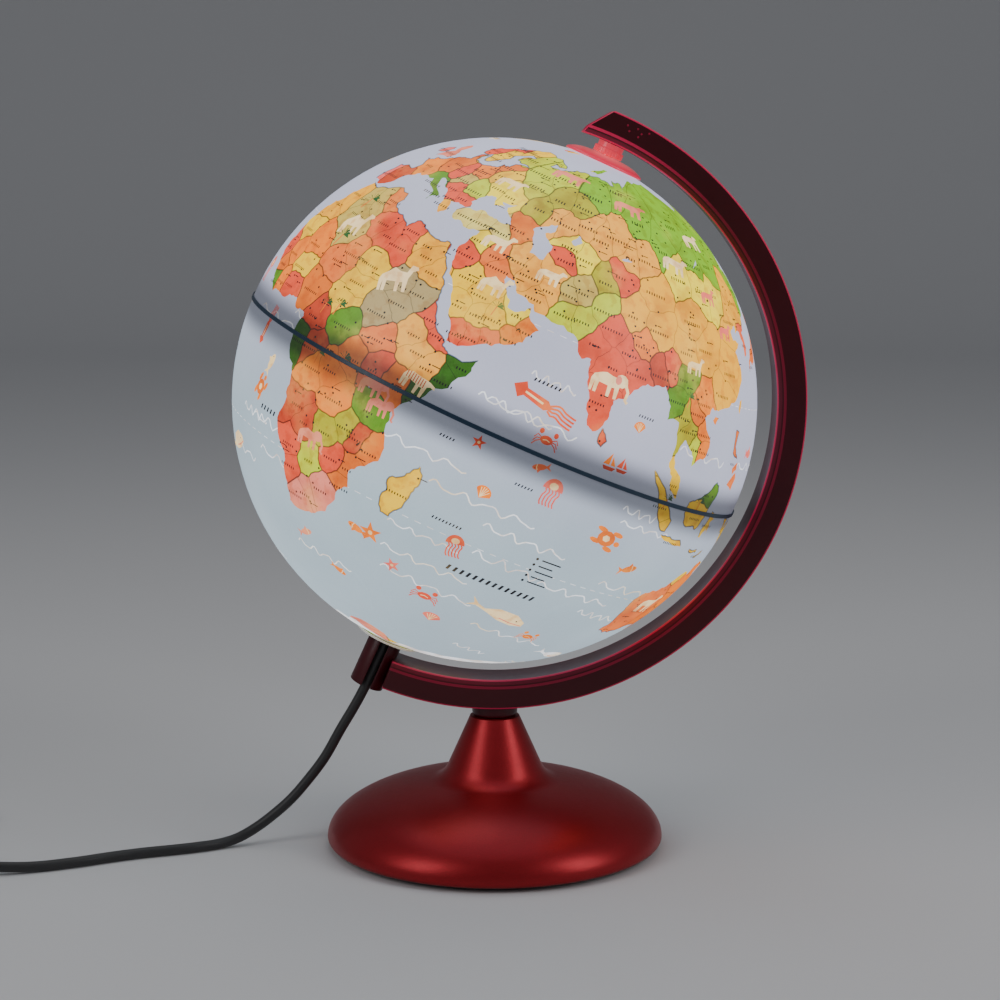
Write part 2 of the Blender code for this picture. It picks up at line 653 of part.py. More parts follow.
# Base: a domed shell with a conical stem, a closing plate, ballast, a pad, and the bolt that holds the arm
def dome(radius, height, from_r, to_r, count):
    """Points of an elliptical dome's profile between two distances from the axis."""
    start, stop = math.acos(from_r / radius), math.acos(to_r / radius)
    turns = [start + (stop - start) * i / count for i in range(count + 1)]
    return [(radius * math.cos(a), BASE_EDGE_Z + height * math.sin(a)) for a in turns]


def base_profile(web_low, web_high):
    slope = math.tan(STEM_SLOPE)

    def cone(z):
        return STEM_TOP_R + (STEM_TOP_Z - STEM_BEVEL - z) * slope

    fillet_top = BASE_EDGE_Z + BASE_DOME + 5.5 * MM
    foot_r = 0.4 * BASE_R
    meet_z = BASE_EDGE_Z + 0.947 * BASE_DOME
    land = dome(BASE_R, BASE_DOME, foot_r, 0, 1)[0]
    bends = [Vector((cone(fillet_top), fillet_top)), Vector((cone(meet_z), meet_z)), Vector(land)]
    fillet = []
    for i in range(4):
        t = i / 4
        point = (1 - t) ** 2 * bends[0] + 2 * t * (1 - t) * bends[1] + t**2 * bends[2]
        fillet.append((point.x, point.y))
    round_r = BASE_EDGE_Z - 2.3 * MM
    under = [
        (BASE_R - round_r + round_r * math.cos(a), BASE_EDGE_Z - round_r * math.sin(a))
        for a in (math.pi / 4, math.pi / 2)
    ]
    inner_r = BASE_R - BASE_WALL
    wall_r = COVER_R + COVER_PLAY
    hollow = dome(inner_r, BASE_DOME - BASE_WALL, wall_r, SPIGOT_R + 12.8 * MM, 4)
    bore = SPIGOT_R + GAP
    return (
        [(bore, STEM_TOP_Z), (STEM_TOP_R - STEM_BEVEL, STEM_TOP_Z), (STEM_TOP_R, STEM_TOP_Z - STEM_BEVEL)]
        + fillet
        + dome(BASE_R, BASE_DOME, foot_r, BASE_R, 7)
        + under
        + [(wall_r, under[-1][1])]
        + hollow
        + [(bore + 1 * MM, web_low), (BOLT_R + GAP, web_low), (BOLT_R + GAP, web_high), (bore, web_high)]
    )


def build_base():
    web_high = SPIGOT_LOW - 2 * MM
    web_low = web_high - WEB_THICK
    shell = placed("base_shell", turned(base_profile(web_low, web_high), 40), RED_LACQUER)
    cover_low = PAD_THICK + GAP
    cover_high = cover_low + COVER_THICK
    corners = [math.radians(45 + 90 * i) for i in range(4)]
    spots = [(SCREW_CIRCLE * math.cos(a), SCREW_CIRCLE * math.sin(a)) for a in corners]
    boss_reach = (SCREW_CIRCLE + BOSS_R) / (BASE_R - BASE_WALL)
    boss_top = BASE_EDGE_Z + (BASE_DOME - BASE_WALL) * math.sqrt(1 - boss_reach**2) + BASE_WALL / 2
    bosses = []
    for spot in spots:
        boss = post(SCREW_R + GAP, BOSS_R, cover_high + GAP, cover_high + BOSS_BORE, boss_top, 14)
        bosses.append(moved(boss, Matrix.Translation((*spot, 0))))
    combined(shell, "UNION", "screw_bosses", merged(bosses))

    cover = placed("base_cover", rod(COVER_R, cover_low, cover_high, 36), BLACK_PLASTIC)
    head_high = cover_low + 1.3 * MM
    below, above = cover_low - 1 * MM, cover_high + 1 * MM
    sink_r, hole_r = SCREW_HEAD_R + GAP, SCREW_R + GAP
    sinks = []
    for spot in spots:
        profile = [
            (0, below), (sink_r, below), (sink_r, head_high + GAP), (hole_r, head_high + GAP),
            (hole_r, above), (0, above),
        ]
        sinks.append(moved(turned(profile, 16), Matrix.Translation((*spot, 0))))
    combined(cover, "DIFFERENCE", "screw_sinks", merged(sinks))
    for number, spot in enumerate(spots, 1):
        tip = cover_high + BOSS_BORE - 1.5 * MM
        screw = [
            (0, cover_low), (SCREW_HEAD_R, cover_low), (SCREW_HEAD_R, head_high), (SCREW_R, head_high),
            (SCREW_R, tip - 1 * MM), (0.5 * MM, tip), (0, tip),
        ]
        placed(f"cover_screw_{number}", turned(screw, 14), STEEL, None, (*spot, 0))

    placed("foot_pad", rod(PAD_R, 0, PAD_THICK, 36), FOAM)
    ballast_low = cover_high + GAP
    ballast = tube(BALLAST_INNER, BALLAST_R, ballast_low, ballast_low + BALLAST_THICK, 32)
    placed("ballast_disc", ballast, BALLAST_IRON)

    washer_low = web_low - GAP - WASHER_THICK
    washer = tube(BOLT_R + GAP, BOLT_R + 3.9 * MM, washer_low, washer_low + WASHER_THICK, 20)
    placed("stem_washer", washer, STEEL)
    head_top = washer_low - GAP
    head = prism(circle(2 * BOLT_R, 6), head_top - 4 * MM, head_top)
    bolt = placed("stem_bolt", head, STEEL)
    shank_top = SPIGOT_LOW + INSERT_LENGTH
    combined(bolt, "UNION", "bolt_shank", rod(BOLT_R, head_top - 1 * MM, shank_top, 20))


# Inline switch, coil of spare lead, tie and plug, all lying on the table to the left
def switch_outline(half_length, half_width, nose):
    """A plan that narrows to a nose at each end, as points round it."""
    quarter = [
        (half_length, nose), (half_length - 3 * MM, nose + 1.2 * MM),
        (half_length - 8 * MM, 0.86 * half_width), (half_length - 12 * MM, 0.97 * half_width),
        (half_length - 16 * MM, half_width),
    ]
    right = quarter + [(-x, y) for x, y in reversed(quarter)]
    return right + [(x, -y) for x, y in reversed(right)]


def build_switch():
    low = GAP
    floor = low + 2.5 * MM
    ceiling = SWITCH_HIGH - SWITCH_WALL
    over = 1 * MM  # how far a cutter reaches past what it cuts
    trunnion_r = 1.2 * MM
    rocker_half = 5.2 * MM
    post_in = rocker_half + 0.7 * MM
    post_out = post_in + 2.3 * MM
    screw_xs = (-SWITCH_SCREW_X, SWITCH_SCREW_X)
    screw_r, screw_head_r = 1.2 * MM, 2.4 * MM
    home = empty("switch_place", (*SWITCH_AT, 0))

    outline = switch_outline(SWITCH_HALF, SWITCH_HALF_WIDTH, SWITCH_NOSE)
    base = placed("switch_base", prism(outline, low, SWITCH_SPLIT), BLACK_PLASTIC, home)
    room = switch_outline(SWITCH_HALF - 6 * MM, SWITCH_HALF_WIDTH - SWITCH_WALL, SWITCH_NOSE)
    combined(base, "DIFFERENCE", "base_room", prism(room, floor, SWITCH_SPLIT + over))
    post_half = 1.8 * MM
    post_top = ROCKER_PIVOT_Z - trunnion_r - GAP
    posts = [
        block((-post_half, near, floor - 0.5 * MM), (post_half, far, post_top))
        for near, far in ((post_in, post_out), (-post_out, -post_in))
    ]
    combined(base, "UNION", "rocker_posts", merged(posts))
    sinks = []
    for x in screw_xs:
        sink_r, sink_top = screw_head_r + GAP, low + 1.4 * MM
        profile = [
            (0, low - over), (sink_r, low - over), (sink_r, sink_top), (screw_r + GAP, sink_top),
            (screw_r + GAP, floor + over), (0, floor + over),
        ]
        sinks.append(moved(turned(profile, 14), Matrix.Translation((x, 0, 0))))
    combined(base, "DIFFERENCE", "base_sinks", merged(sinks))

    cover_low = SWITCH_SPLIT + GAP
    cover = placed("switch_cover", prism(outline, cover_low, SWITCH_HIGH), BLACK_PLASTIC, home)
    combined(cover, "DIFFERENCE", "cover_room", prism(room, cover_low - over, ceiling))
    pillars = []
    for x in screw_xs:
        pillar = post(screw_r + GAP, 2.8 * MM, floor + GAP, ceiling - 1 * MM, ceiling + 0.5 * MM)
        pillars.append(moved(pillar, Matrix.Translation((x, 0, 0))))
    combined(cover, "UNION", "cover_pillars", merged(pillars))
    window_x = 10.7 * MM
    window_y = rocker_half + 0.4 * MM
    window = block((-window_x, -window_y, ceiling - over), (window_x, window_y, SWITCH_HIGH + over))
    combined(cover, "DIFFERENCE", "rocker_window", window)

    for number, x in enumerate(screw_xs, 1):
        head = low + 0.1 * MM
        head_top = head + 1.0 * MM
        screw = [
            (0, head), (screw_head_r, head), (screw_head_r, head_top), (screw_r, head_top),
            (screw_r, ceiling - 2.2 * MM), (0, ceiling - 1.4 * MM),
        ]
        placed(f"switch_screw_{number}", turned(screw, 12), STEEL, home, (x, 0, 0))

    upright = Matrix.Rotation(math.pi / 2, 4, "X")
    strip = [
        (-8, 0), (-3, 0), (0, 1.2), (3, 0), (8, 0), (8, 0.8), (3.2, 0.8), (0, 2.1), (-3.2, 0.8), (-8, 0.8),
    ]
    bent = prism([(x * MM, z * MM) for x, z in strip], -2 * MM, 2 * MM)
    placed("switch_contact", moved(bent, upright), BRASS, home, (0, 0, floor + GAP))

    pivot = empty("rocker_pivot", (0, 0, ROCKER_PIVOT_Z), (0, ROCKER_REST, 0), home)
    face = [
        (-9.6, 1.0), (-3, -2.5), (3, -2.5), (9.6, 1.0), (9.6, 6.0), (5.0, 4.9), (0, 4.5), (-5.0, 4.9),
        (-9.6, 6.0),
    ]
    body = prism([(x * MM, z * MM) for x, z in face], -rocker_half, rocker_half)
    rocker = placed("switch_rocker", moved(body, upright), BLACK_PLASTIC, pivot)
    trunnion_half = post_out - 0.6 * MM
    trunnion = rod(trunnion_r, -trunnion_half, trunnion_half, 12)
    combined(rocker, "UNION", "rocker_trunnions", moved(trunnion, upright))


def build_coil():
    ring = tube(COIL_INNER, COIL_OUTER, COIL_LOW, COIL_HIGH, 40)
    placed("cord_coil", ring, BLACK_LEAD, None, (*COIL_AT, 0))
    low = Vector((-COIL_OUTER - 2 * GAP, -TIE_HALF, COIL_LOW - GAP))
    high = Vector((-COIL_INNER + 2 * GAP, TIE_HALF, COIL_HIGH + GAP))
    strap = Vector((TIE_THICK, 0, TIE_THICK))
    band = placed("cord_tie", block(low - strap, high + strap), BLACK_PLASTIC, None, (*COIL_AT, 0))
    wide = Vector((0, 2 * MM, 0))
    combined(band, "DIFFERENCE", "tie_opening", block(low - wide, high + wide), (*COIL_AT, 0))


def build_plug():
    """A flat two-pin plug lying on its side, its pins towards +X."""
    place = empty("plug_place", PLUG_AT)
    length = PLUG_LENGTH
    stations = [(-PLUG_RELIEF, 3.3, 3.3), (-PLUG_RELIEF + 1 * MM, 3.8, 3.8)]
    for i in range(3):
        x = -PLUG_RELIEF + (4 + 5 * i) * MM
        width = 4.1 + 0.35 * i
        stations += [(x, width, width), (x + 0.2 * MM, width - 0.6, width - 0.6)]
        stations += [(x + 1.6 * MM, width - 0.6, width - 0.6), (x + 1.8 * MM, width, width)]
    stations += [
        (0, 5.2, 5.2), (6 * MM, 6.8, 5.8), (14 * MM, 11.0, 6.5), (22 * MM, 15.6, 6.8),
        (length - 1 * MM, 17.2, 6.8), (length, 16.6, 6.3),
    ]
    rings = []
    for x, half_width, half_height in stations:
        corner = min(half_width, half_height)
        flat = half_width - corner
        arc = [(math.cos(math.tau * i / 12), math.sin(math.tau * i / 12)) for i in range(12)]
        ring = [(across * corner + math.copysign(flat, across), up * corner) for across, up in arc]
        rings.append([(x, y * MM, z * MM) for y, z in ring])
    placed("plug_body", lofted(rings), BLACK_PLASTIC, place)
    foot, tip = length + GAP, length + 19 * MM
    for number, side in enumerate((-PLUG_PIN_Y, PLUG_PIN_Y), 1):
        pin = [(0, foot), (2.0 * MM, foot), (2.0 * MM, tip - 1.5 * MM), (1.2 * MM, tip), (0, tip)]
        placed(f"plug_pin_{number}", turned(pin, 16), NICKEL, place, (0, side, 0), (0, math.pi / 2, 0))


for leftover in list(bpy.data.objects):
    bpy.data.objects.remove(leftover, do_unlink=True)

globe_centre = empty("globe_centre", (0, 0, GLOBE_CENTRE_Z))
globe_axis = empty("globe_axis", (0, 0, GLOBE_CENTRE_Z), (0, AXIS_TILT, 0))
build_base()
build_arm(globe_centre)
build_pivot(globe_axis)
build_lamp(globe_axis)
build_globe(globe_axis)
lead("cord_lamp_to_switch", LAMP_TO_SWITCH)
lead("cord_switch_to_coil", SWITCH_TO_COIL)
lead("cord_coil_to_plug", COIL_TO_PLUG)
build_switch()
build_coil()
build_plug()
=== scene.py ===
import json
import math
import random

import bmesh
import bpy
from mathutils import Matrix, Vector
from mathutils.geometry import delaunay_2d_cdt


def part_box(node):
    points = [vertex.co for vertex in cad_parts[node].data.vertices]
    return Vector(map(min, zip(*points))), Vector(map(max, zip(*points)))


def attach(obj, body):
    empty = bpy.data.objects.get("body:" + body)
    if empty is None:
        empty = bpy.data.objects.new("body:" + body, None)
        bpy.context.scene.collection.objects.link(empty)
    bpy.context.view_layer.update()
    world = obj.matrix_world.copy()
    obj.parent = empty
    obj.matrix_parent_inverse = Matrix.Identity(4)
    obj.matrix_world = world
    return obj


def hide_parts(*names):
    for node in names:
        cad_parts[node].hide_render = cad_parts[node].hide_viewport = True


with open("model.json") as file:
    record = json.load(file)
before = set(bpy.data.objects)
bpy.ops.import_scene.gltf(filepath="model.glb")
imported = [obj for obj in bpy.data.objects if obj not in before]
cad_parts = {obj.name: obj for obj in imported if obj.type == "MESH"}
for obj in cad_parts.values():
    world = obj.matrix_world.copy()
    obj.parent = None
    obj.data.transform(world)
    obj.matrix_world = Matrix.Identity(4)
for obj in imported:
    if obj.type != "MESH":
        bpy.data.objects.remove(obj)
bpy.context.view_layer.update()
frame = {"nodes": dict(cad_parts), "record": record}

# An illuminated desktop globe: camera and lead first, then the map, fittings, arm, base and studio.
# Profiles are in millimetres; what is turned about the globe's axis is drawn upright and then leant.

mm = 0.001
spin = frame["record"]["behaviour"]["joints"][0]
centre = Vector(spin["pos_m"])
axis = Vector(spin["axis"]).normalized()
tilt = math.atan2(axis.x, axis.z)
leaning = Matrix.Translation(centre) @ Matrix.Rotation(tilt, 4, "Y")  # from the globe's axes to the frame


def linked(name, data):
    made = bpy.data.objects.new(name, data)
    bpy.context.scene.collection.objects.link(made)
    return made


# the camera stands in front and looks a little down; its turns are in degrees
cameraSet = {"place": (0.0, -1.16771, 0.36294), "down": 9.03, "aside": 0.131, "lens": 84.9}


def buildCamera():
    down, aside = math.radians(cameraSet["down"]), math.radians(cameraSet["aside"])
    ahead = Vector((math.sin(aside) * math.cos(down), math.cos(aside) * math.cos(down), -math.sin(down)))
    camera = linked("camera", bpy.data.cameras.new("camera"))
    camera.data.lens = cameraSet["lens"]
    camera.location = cameraSet["place"]
    camera.rotation_euler = ahead.to_track_quat("-Z", "Y").to_euler()
    bpy.context.scene.camera = camera
    print("camera set")


# finishes: a wire is one socket in an expression, a sheet is one material
class Wire:
    def __init__(self, sheet, socket):
        self.sheet = sheet
        self.socket = socket

    def work(self, kind, left, right):
        return self.sheet.node("ShaderNodeMath", {"operation": kind}, {0: left, 1: right})

    def __add__(self, other):
        return self.work("ADD", self, other)

    def __sub__(self, other):
        return self.work("SUBTRACT", self, other)

    def __rsub__(self, other):
        return self.work("SUBTRACT", other, self)

    def __mul__(self, other):
        return self.work("MULTIPLY", self, other)

    __radd__ = __add__
    __rmul__ = __mul__


class Sheet:
    def __init__(self, name, fixed):
        self.material = bpy.data.materials.new(name)
        self.material.use_nodes = True
        self.tree = self.material.node_tree
        self.shader = self.tree.nodes["Principled BSDF"]
        for socket, value in fixed.items():
            self.shader.inputs[socket].default_value = value

    def node(self, kind, settings, sockets, out=0):
        made = self.tree.nodes.new(kind)
        for key, value in settings.items():
            setattr(made, key, value)
        for key, value in sockets.items():
            self.join(made.inputs[key], value)
        return Wire(self, made.outputs[out])

    def join(self, socket, value):
        if isinstance(value, Wire):
            self.tree.links.new(value.socket, socket)
        else:
            socket.default_value = value

    def feed(self, name, value):
        self.join(self.shader.inputs[name], value)

    def place(self):
        return self.node("ShaderNodeTexCoord", {}, {}, out="Object")

    def attribute(self, name, out):
        return self.node("ShaderNodeAttribute", {"attribute_name": name}, {}, out=out)

    def vector(self, kind, left, right, out=0):
        return self.node("ShaderNodeVectorMath", {"operation": kind}, {0: left, 1: right}, out=out)

    def up(self):
        # how far along the globe's axis, from its equator
        return self.vector("DOT_PRODUCT", self.vector("SUBTRACT", self.place(), centre), axis, out="Value")

    def noise(self, scale, detail=3.0, stretch=None):
        where = self.place()
        if stretch:
            where = self.node("ShaderNodeMapping", {}, {"Vector": where, "Scale": stretch})
        return self.node("ShaderNodeTexNoise", {}, {"Vector": where, "Scale": scale, "Detail": detail})

    def cells(self, scale):
        return self.node("ShaderNodeTexVoronoi", {}, {"Vector": self.place(), "Scale": scale})

    def blend(self, mask, first, second):
        sockets = {"Factor": mask, 6: first, 7: second}
        return self.node("ShaderNodeMix", {"data_type": "RGBA"}, sockets, out=2)

    def between(self, value, low, high, atLow=0.0, atHigh=1.0):
        sockets = {0: value, 1: low, 2: high, 3: atLow, 4: atHigh}
        return self.node("ShaderNodeMapRange", {"interpolation_type": "SMOOTHSTEP"}, sockets)

    def bump(self, height, depth):
        sockets = {"Height": height, "Distance": depth, "Strength": 1.0}
        self.feed("Normal", self.node("ShaderNodeBump", {}, sockets))


def shade(colour, factor):
    return tuple(c * factor for c in colour[:3]) + (1.0,)


lacquerLook = {"red": (0.29, 0.007, 0.012, 1), "fleck": (0.60, 0.03, 0.045, 1), "metal": 0.62, "rough": 0.32}


def lacquerFinish():
    sheet = Sheet("satinRedLacquer", {"Coat Weight": 0.06, "Coat Roughness": 0.3})
    fleck = 1 - sheet.between(sheet.cells(2600.0), 0.16, 0.5)  # metal flecks under the lacquer
    red = sheet.blend(fleck * 0.55, lacquerLook["red"], lacquerLook["fleck"])
    red = sheet.blend(sheet.noise(38.0, 4.0) * 0.22, red, shade(lacquerLook["red"], 0.55))
    sheet.feed("Base Color", red)
    sheet.feed("Metallic", lacquerLook["metal"] + fleck * 0.25)
    sheet.feed("Roughness", lacquerLook["rough"] + sheet.noise(300.0) * 0.1)
    sheet.bump(sheet.noise(950.0, 2.0) + fleck * 0.2, 0.00005)
    return sheet.material


# the arm's wine plastic; glow is the strength of the painted glow on its edges, and the pink is their
# painted highlight
wineLook = {
    "wine": (0.055, 0.002, 0.006, 1), "rim": (0.74, 0.02, 0.10, 1), "unlit": (0.0, 0.0, 0.0, 1),
    "glow": 0.34, "rough": 0.3, "gloss": 0.3,
}


def wineFinish():
    sheet = Sheet("wineRedPlastic", {
        "Specular IOR Level": wineLook["gloss"], "Coat Weight": 0.05, "Coat Roughness": 0.15,
        "Emission Strength": wineLook["glow"],
    })
    rim = sheet.attribute("rim", "Fac")  # painted glow and painted highlight on the edges, where the lamp's light would show through the plastic
    cloud = sheet.noise(45.0, 5.0)
    body = sheet.blend(cloud * 0.5, wineLook["wine"], shade(wineLook["wine"], 0.55))
    # painted highlight: the edges' base colour is blended towards pink
    sheet.feed("Base Color", sheet.blend(rim * 0.85, body, wineLook["rim"]))
    # painted glow: the edges emit pink, though the arm is no lamp
    sheet.feed("Emission Color", sheet.blend(rim * (0.55 + cloud * 0.6), wineLook["unlit"], wineLook["rim"]))
    sheet.feed("Roughness", wineLook["rough"] + sheet.noise(160.0, 4.0) * 0.14)
    sheet.bump(sheet.noise(520.0, 3.0), 0.00004)
    return sheet.material


# the cap glows with painted light from the lamp inside, and a painted highlight makes it lightest on its
# crown, between two heights, and dark again at its hub; light is the painted highlight's colour and glow the
# strength of the painted glow
capLook = {
    "pink": (0.80, 0.02, 0.07, 1), "light": (0.95, 0.13, 0.15, 1), "glow": 0.55,
    "crown": (0.1302, 0.1324), "hub": (0.1331, 0.1334),
}


def capFinish():
    sheet = Sheet("litPinkPlastic", {"Coat Weight": 0.3, "Emission Strength": capLook["glow"]})
    up = sheet.up()
    crown = sheet.between(up, *capLook["crown"]) * sheet.between(up, *capLook["hub"], 1.0, 0.3)
    pink = sheet.blend(crown * 0.9 + sheet.noise(60.0) * 0.1, capLook["pink"], capLook["light"])
    sheet.feed("Base Color", pink)
    # painted glow: the cap emits its own colour, though it is no lamp
    sheet.feed("Emission Color", pink)
    sheet.feed("Roughness", 0.26 + sheet.noise(220.0) * 0.12)
    sheet.bump(sheet.noise(700.0, 2.0), 0.00003)
    return sheet.material


# glow is the strength of the print's painted light from the lamp inside
printLook = {
    "glow": 1.38, "paper": 0.36, "rough": 0.42, "shadow": 0.17,
    "northSea": (0.62, 0.63, 0.73, 1), "southSea": (0.55, 0.64, 0.69, 1), "haze": (0.82, 0.86, 0.92, 1),
    "hills": (0.74, 0.62, 0.55), "dry": (1.0, 0.76, 0.34, 1), "hatch": (0.80, 0.64, 0.50),
    "fibre": (1.0, 0.97, 0.92, 1),
}


def printFinish():
    look = printLook
    fixed = {"Coat Weight": 0.12, "Coat Roughness": 0.3, "Emission Strength": look["glow"]}
    sheet = Sheet("litMapPrint", fixed)
    paint, printed = sheet.attribute("paint", "Color"), sheet.attribute("paint", "Alpha")
    up = sheet.up()
    relief = sheet.noise(70.0, 6.0)
    sea = sheet.blend(sheet.between(up, -0.055, 0.02), look["southSea"], look["northSea"])
    sea = sheet.blend(sheet.noise(26.0, 5.0) * 0.3, sea, look["haze"])
    hills = sheet.between(relief, 0.45, 0.75, 0.0, 0.6)
    ground = sheet.blend(hills, paint, sheet.vector("MULTIPLY", paint, look["hills"]))
    ground = sheet.blend(sheet.between(sheet.noise(31.0, 4.0), 0.5, 0.7, 0.0, 0.35), ground, look["dry"])
    hatch = sheet.between(sheet.noise(210.0), 0.5, 0.66, 0.0, 0.4)
    ground = sheet.blend(hatch, ground, sheet.vector("MULTIPLY", paint, look["hatch"]))
    colour = sheet.blend(sheet.noise(900.0, 2.0) * 0.08, sheet.blend(printed, sea, ground), look["fibre"])
    deep = sheet.vector("MULTIPLY", colour, colour)
    sheet.feed("Base Color", sheet.vector("MULTIPLY", deep, (look["paper"],) * 3))
    # painted light from the lamp inside: the print emits its colour, with a painted shadow of the joint
    # ring, a painted pool of light and a painted brightening towards the north
    away = sheet.node("ShaderNodeMath", {"operation": "ABSOLUTE"}, {0: up})
    ring = sheet.between(away, 0.004, 0.016, look["shadow"], 1.0)  # the joint ring inside shades it
    paintedPool = sheet.noise(9.0, 1.0) * 0.3 + 0.82
    light = ring * paintedPool * sheet.between(up, -0.02, 0.12, 1.0, 1.1)
    light = sheet.node("ShaderNodeVectorMath", {"operation": "SCALE"}, {0: deep, "Scale": light})
    sheet.feed("Emission Color", light)
    sheet.feed("Roughness", look["rough"] + relief * 0.12)
    sheet.bump(sheet.noise(1300.0, 2.0), 0.00002)
    return sheet.material


def plainFinish(name, colour, rough, metal=0.0, grain=400.0, depth=0.00003, change=0.35):
    sheet = Sheet(name, {"Metallic": metal})
    cloud = sheet.noise(grain * 0.12, 4.0)
    sheet.feed("Base Color", sheet.blend(cloud * change, (*colour, 1.0), shade(colour, 0.6)))
    sheet.feed("Roughness", rough + sheet.noise(grain * 0.5, 3.0) * 0.16)
    sheet.bump(sheet.noise(grain, 3.0), depth)
    return sheet.material


def turnedMetal(name, colour, rough):
    sheet = Sheet(name, {"Metallic": 1.0})
    lines = sheet.noise(500.0, 2.0, (0.15, 0.15, 3.0))  # fine tool marks round the part
    sheet.feed("Base Color", sheet.blend(sheet.noise(90.0, 4.0) * 0.4, (*colour, 1.0), shade(colour, 0.7)))
    sheet.feed("Roughness", rough + lines * 0.2)
    sheet.bump(lines, 0.00003)
    return sheet.material


def jacketFinish():
    sheet = Sheet("blackLeadJacket", {"Sheen Weight": 0.15})
    worn = sheet.noise(160.0, 4.0)
    sheet.feed("Base Color", sheet.blend(worn * 0.6, (0.010, 0.010, 0.011, 1), (0.024, 0.023, 0.024, 1)))
    sheet.feed("Roughness", 0.36 + worn * 0.22)
    sheet.bump(sheet.noise(1500.0, 2.0), 0.00003)
    return sheet.material


def foamFinish():
    sheet = Sheet("blackPadFoam", {})
    pores = sheet.cells(1400.0)
    sheet.feed("Base Color", sheet.blend(pores, (0.006, 0.006, 0.007, 1), (0.03, 0.03, 0.032, 1)))
    sheet.feed("Roughness", 0.8 + pores * 0.15)
    sheet.bump(pores, 0.0001)
    return sheet.material


def glassFinish():
    sheet = Sheet("frostedLampGlass", {"Transmission Weight": 0.6, "IOR": 1.46, "Emission Strength": 1.5})
    frost = sheet.noise(600.0, 3.0)
    sheet.feed("Base Color", sheet.blend(frost * 0.3, (0.95, 0.93, 0.88, 1), (0.8, 0.78, 0.72, 1)))
    sheet.feed("Emission Color", sheet.blend(frost * 0.3, (1.0, 0.86, 0.66, 1), (0.9, 0.74, 0.52, 1)))
    sheet.feed("Roughness", 0.3 + frost * 0.25)
    return sheet.material


finish = {
    "base_lacquer": lacquerFinish(),
    "arm_plastic": wineFinish(),
    "cap_plastic": capFinish(),
    "map_print": printFinish(),
    "equator_tape": plainFinish("navyTape", (0.006, 0.030, 0.065), 0.3, grain=900.0),
    "white_plastic": plainFinish("whitePlastic", (0.72, 0.70, 0.65), 0.38, change=0.15),
    "black_plastic": plainFinish("blackPlastic", (0.016, 0.016, 0.017), 0.34, grain=1100.0, depth=0.00006),
    "lead_jacket": jacketFinish(),
    "steel": turnedMetal("zincSteel", (0.55, 0.55, 0.57), 0.25),
    "nickel": turnedMetal("brightNickel", (0.68, 0.66, 0.62), 0.14),
    "brass": turnedMetal("bareBrass", (0.72, 0.50, 0.20), 0.24),
    "ballast_iron": plainFinish("castIron", (0.09, 0.09, 0.10), 0.6, 0.7, grain=500.0, depth=0.0002),
    "pad_foam": foamFinish(),
    "lamp_glass": glassFinish(),
}
print("finishes mixed")


# shaping: what several pieces are made with
def rest(name, slot, body, *stands):
    piece = bpy.data.objects[name]
    piece.data.materials.clear()
    piece.data.materials.append(finish[slot])
    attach(piece, body)
    if stands:
        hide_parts(*stands)
    return piece


def shaded(mesh, sharp=32.0):
    mesh.shade_smooth()
    mesh.set_sharp_from_angle(angle=math.radians(sharp))


def born(name, shape, matrix=None):
    bmesh.ops.recalc_face_normals(shape, faces=shape.faces)
    if matrix:
        bmesh.ops.transform(shape, matrix=matrix, verts=shape.verts)
    mesh = bpy.data.meshes.new(name)
    shape.to_mesh(mesh)
    shape.free()
    shaded(mesh)
    return linked(name, mesh)


def settled(piece, sharp=32.0):
    # a piece as its modifiers leave it, as a plain mesh
    graph = bpy.context.evaluated_depsgraph_get()
    mesh = bpy.data.meshes.new_from_object(piece.evaluated_get(graph))
    piece.modifiers.clear()
    piece.data = mesh
    shaded(mesh, sharp)
    return piece


def eased(piece, width, segments=3):
    step = piece.modifiers.new("easedEdges", "BEVEL")
    step.width = width * mm
    step.segments = segments
    step.limit_method = "ANGLE"
    step.angle_limit = math.radians(34)
    step.harden_normals = False
    return settled(piece)


def loft(rings, closed=False):
    shape = bmesh.new()
    rows = [[shape.verts.new(point) for point in ring] for ring in rings]
    pairs = list(zip(rows, rows[1:]))
    if closed:
        pairs.append((rows[-1], rows[0]))
    for near, far in pairs:
        for i in range(len(near)):
            j = (i + 1) % len(near)
            shape.faces.new((near[i], near[j], far[j], far[i]))
    if not closed:
        shape.faces.new(rows[0])
        shape.faces.new(rows[-1])
    return shape


def turned(profile, sides):
    shape = bmesh.new()
    points = [shape.verts.new((radius * mm, 0, height * mm)) for radius, height in profile]
    edges = [shape.edges.new(pair) for pair in zip(points, points[1:])]
    if profile[0][0] > 0:
        edges.append(shape.edges.new((points[-1], points[0])))
    about = {"cent": (0, 0, 0), "axis": (0, 0, 1), "angle": math.tau}
    bmesh.ops.spin(shape, geom=points + edges, steps=sides, use_merge=True, **about)
    bmesh.ops.remove_doubles(shape, verts=shape.verts, dist=1e-7)
    return shape


def turnedPiece(name, profile, sides, matrix, slot, body, *stands):
    born(name, turned(profile, sides), matrix)
    return rest(name, slot, body, *stands)


def bent(start, bend, stop, steps):
    # a curve from start to stop that leans towards the bend
    parts = [i / steps for i in range(steps + 1)]
    return [tuple((1 - t) ** 2 * start + 2 * t * (1 - t) * bend + t * t * stop) for t in parts]


def corner(before, here, after, reach, steps):
    start = here + (before - here).normalized() * reach
    return bent(start, here, here + (after - here).normalized() * reach, steps)


def softened(profile, radius, steps):
    # a profile with each of its inner corners rounded
    out = [profile[0]]
    for points in zip(profile, profile[1:], profile[2:]):
        before, here, after = [Vector(point) for point in points]
        reach = min(radius, (before - here).length * 0.45, (after - here).length * 0.45)
        out += corner(before, here, after, reach, steps)
    return out + [profile[-1]]


def slab(halfX, halfY):
    return [(-halfX, -halfY), (halfX, -halfY), (halfX, halfY), (-halfX, halfY)]


